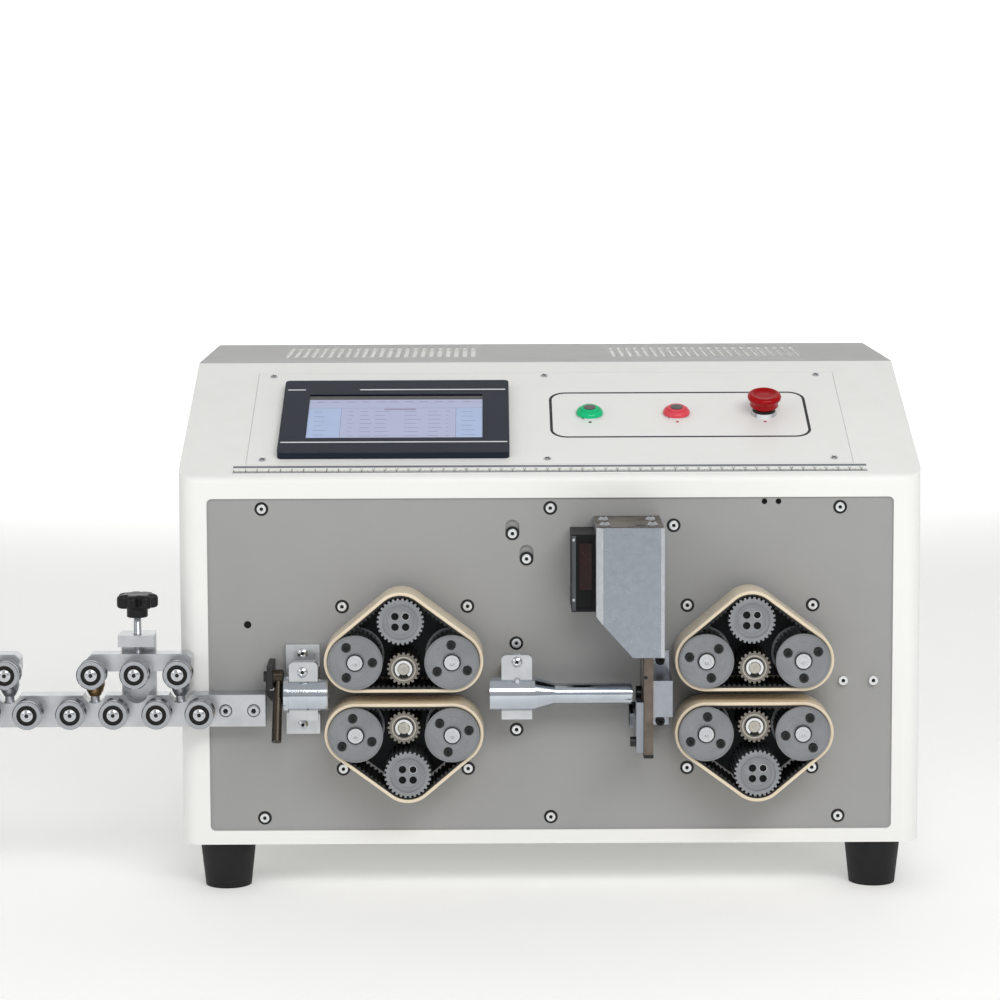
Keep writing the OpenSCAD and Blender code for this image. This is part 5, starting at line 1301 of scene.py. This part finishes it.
class WireMachineStage(bpy.types.PropertyGroup):
    """Camera and light round the machine"""

    lens: FloatProperty(name="Lens", description="Focal length on the camera's film", default=109.26,
                        min=10.0, unit="CAMERA")
    pitch: angle("Pitch", 5.782, "Downward tilt")
    yaw: angle("Yaw", 0.212, "Turn to the right")
    roll: angle("Roll", -0.2015, "Roll of the frame")
    shift: FloatProperty(name="Shift", description="Upward shift of the frame", default=-0.08)
    key: power("Key light", 34.0, "Power of the main light")
    fill: power("Fill light", 6.0, "Power of the side light")
    wash: power("Backdrop light", 900.0, "Power of the light on the backdrop")
    sky: FloatProperty(name="Surround", description="Brightness of the surround", default=1.0, min=0.0)


CAMERA_MM = (-52.45, -2583.0, 671.8)
FILM_MM = 36.0
FAR_CLIP = 50.0
SKY_LEVELS = ((0.0, 0.42), (1.0, 0.55), (0.15, 0.5), (0.5, 0.55))
WASH_CONE = (1.7, 0.6)
FLOOR_REACH = 12.0
FLOOR_BACK = 5.0
FLOOR_BEND = 2.0


class WIREMACHINE_OT_stage(bpy.types.Operator):
    """Sets up the floor, the lights and the camera"""

    bl_idname = "wire_machine.stage"
    bl_label = "Stage"

    def execute(self, context):
        """A pale floor that rises behind, soft lights and a long lens from the front."""
        s = context.scene.wire_machine_stage
        scene = context.scene
        floor = finish("pale_floor", "#fbfbfa", "#f8f8f7", rough=(0.6, 0.8), scale=8.0, bump=0.0,
                       mottle=1.5, glow=0.16)
        bend = np.linspace(0, np.pi / 2, 16)
        flat, up = np.linspace(-FLOOR_REACH, FLOOR_BACK, 12), np.linspace(FLOOR_BEND, FLOOR_REACH, 6)
        wall_y = np.full(len(up), FLOOR_BACK + FLOOR_BEND)
        y = np.concatenate([flat, FLOOR_BACK + FLOOR_BEND * np.sin(bend), wall_y])
        z = np.concatenate([np.zeros(len(flat)), FLOOR_BEND * (1 - np.cos(bend)), up])
        x = np.linspace(-FLOOR_REACH, FLOOR_REACH, 9)
        grid = np.stack(np.broadcast_arrays(x[None, :], y[:, None], z[:, None]), -1).reshape(-1, 3)
        mesh = bpy.data.meshes.new("floor")
        mesh.from_pydata(grid, [], quads(len(y), len(x))[:, ::-1].tolist())
        mesh.polygons.foreach_set("use_smooth", np.ones(len(mesh.polygons), bool))
        mesh.materials.append(floor)
        linked("floor", mesh)
        world = bpy.data.worlds.new("white_surround")
        world.use_nodes = True
        tree = world.node_tree
        back = tree.nodes["Background"]
        back.inputs["Strength"].default_value = s.sky
        way = node(tree, "ShaderNodeTexCoord").outputs["Generated"]
        height = node(tree, "ShaderNodeSeparateXYZ", {0: way})
        ramp = node(tree, "ShaderNodeValToRGB", {"Fac": height.outputs["Z"]})
        for place, _ in SKY_LEVELS[2:]:
            ramp.color_ramp.elements.new(place)
        for stop, (place, level) in zip(ramp.color_ramp.elements, sorted(SKY_LEVELS)):
            stop.position = place
            stop.color = (level, level, level, 1.0)
        tree.links.new(ramp.outputs["Color"], back.inputs["Color"])
        scene.world = world
        front, wall = (0.1, 0.0, 0.2), (0.0, 5.6, 0.6)
        lamps = (("key_light", "AREA", s.key, (2.2, 0.9), (0.9, -2.3, 1.9), front),
                 ("fill_light", "AREA", s.fill, (1.2, 1.2), (-1.9, -1.7, 1.1), front),
                 ("backdrop_light", "SPOT", s.wash, WASH_CONE, (0.0, 1.9, 4.2), wall))
        for name, kind, watts, size, spot, target in lamps:
            data = bpy.data.lights.new(name, kind)
            data.energy = watts
            if kind == "AREA":
                data.shape = "RECTANGLE"
                data.size, data.size_y = size
            else:
                data.spot_size, data.shadow_soft_size = size
                data.spot_blend = 1.0
            lamp = linked(name, data)
            lamp.location = spot
            lamp.rotation_euler = (Vector(target) - Vector(spot)).to_track_quat("-Z", "Y").to_euler()
        ahead = Vector((np.sin(s.yaw) * np.cos(s.pitch), np.cos(s.yaw) * np.cos(s.pitch), -np.sin(s.pitch)))
        right = Vector((np.cos(s.yaw), -np.sin(s.yaw), 0.0))
        up = right.cross(ahead)
        side = right * np.cos(s.roll) + up * np.sin(s.roll)
        top = up * np.cos(s.roll) - right * np.sin(s.roll)
        data = bpy.data.cameras.new("camera")
        data.lens = s.lens
        data.sensor_width = FILM_MM
        data.shift_y = s.shift
        data.clip_end = FAR_CLIP
        camera = linked("camera", data)
        turn = Matrix((side, top, -ahead)).transposed().to_4x4()
        camera.matrix_world = Matrix.Translation(row(CAMERA_MM)) @ turn
        scene.camera = camera
        scene.view_settings.view_transform = "Standard"
        return {"FINISHED"}


OPERATORS = (
    WIREMACHINE_OT_solids, WIREMACHINE_OT_belts, WIREMACHINE_OT_pulleys, WIREMACHINE_OT_rollers,
    WIREMACHINE_OT_panel, WIREMACHINE_OT_controls, WIREMACHINE_OT_screen, WIREMACHINE_OT_ruler,
    WIREMACHINE_OT_cutter, WIREMACHINE_OT_clamps, WIREMACHINE_OT_stage,
)
SETTINGS = {
    "wire_machine_colours": WireMachineColours,
    "wire_machine_sizes": WireMachineSizes,
    "wire_machine_stage": WireMachineStage,
}


class WIREMACHINE_PT_panel(bpy.types.Panel):
    """Lists the settings and the steps"""

    bl_idname = "WIREMACHINE_PT_panel"
    bl_label = "Wire machine"
    bl_space_type = "VIEW_3D"
    bl_region_type = "UI"
    bl_category = "Wire machine"

    def draw(self, context):
        """Draws every setting and one button for each step."""
        for name in SETTINGS:
            group = getattr(context.scene, name)
            box = self.layout.box()
            for key in group.__annotations__:
                box.prop(group, key)
        for step in OPERATORS:
            self.layout.operator(step.bl_idname)


CLASSES = tuple(SETTINGS.values()) + OPERATORS + (WIREMACHINE_PT_panel,)


def register():
    """Adds the classes and puts the settings on the scene."""
    for cls in CLASSES:
        bpy.utils.register_class(cls)
    for name, cls in SETTINGS.items():
        setattr(bpy.types.Scene, name, PointerProperty(type=cls))


def unregister():
    """Takes the settings and the classes away again."""
    for name in SETTINGS:
        delattr(bpy.types.Scene, name)
    for cls in reversed(CLASSES):
        bpy.utils.unregister_class(cls)


def main():
    """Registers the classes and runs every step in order."""
    register()
    for step in OPERATORS:
        group, name = step.bl_idname.split(".")
        getattr(getattr(bpy.ops, group), name)()


if __name__ == "__main__":
    main()
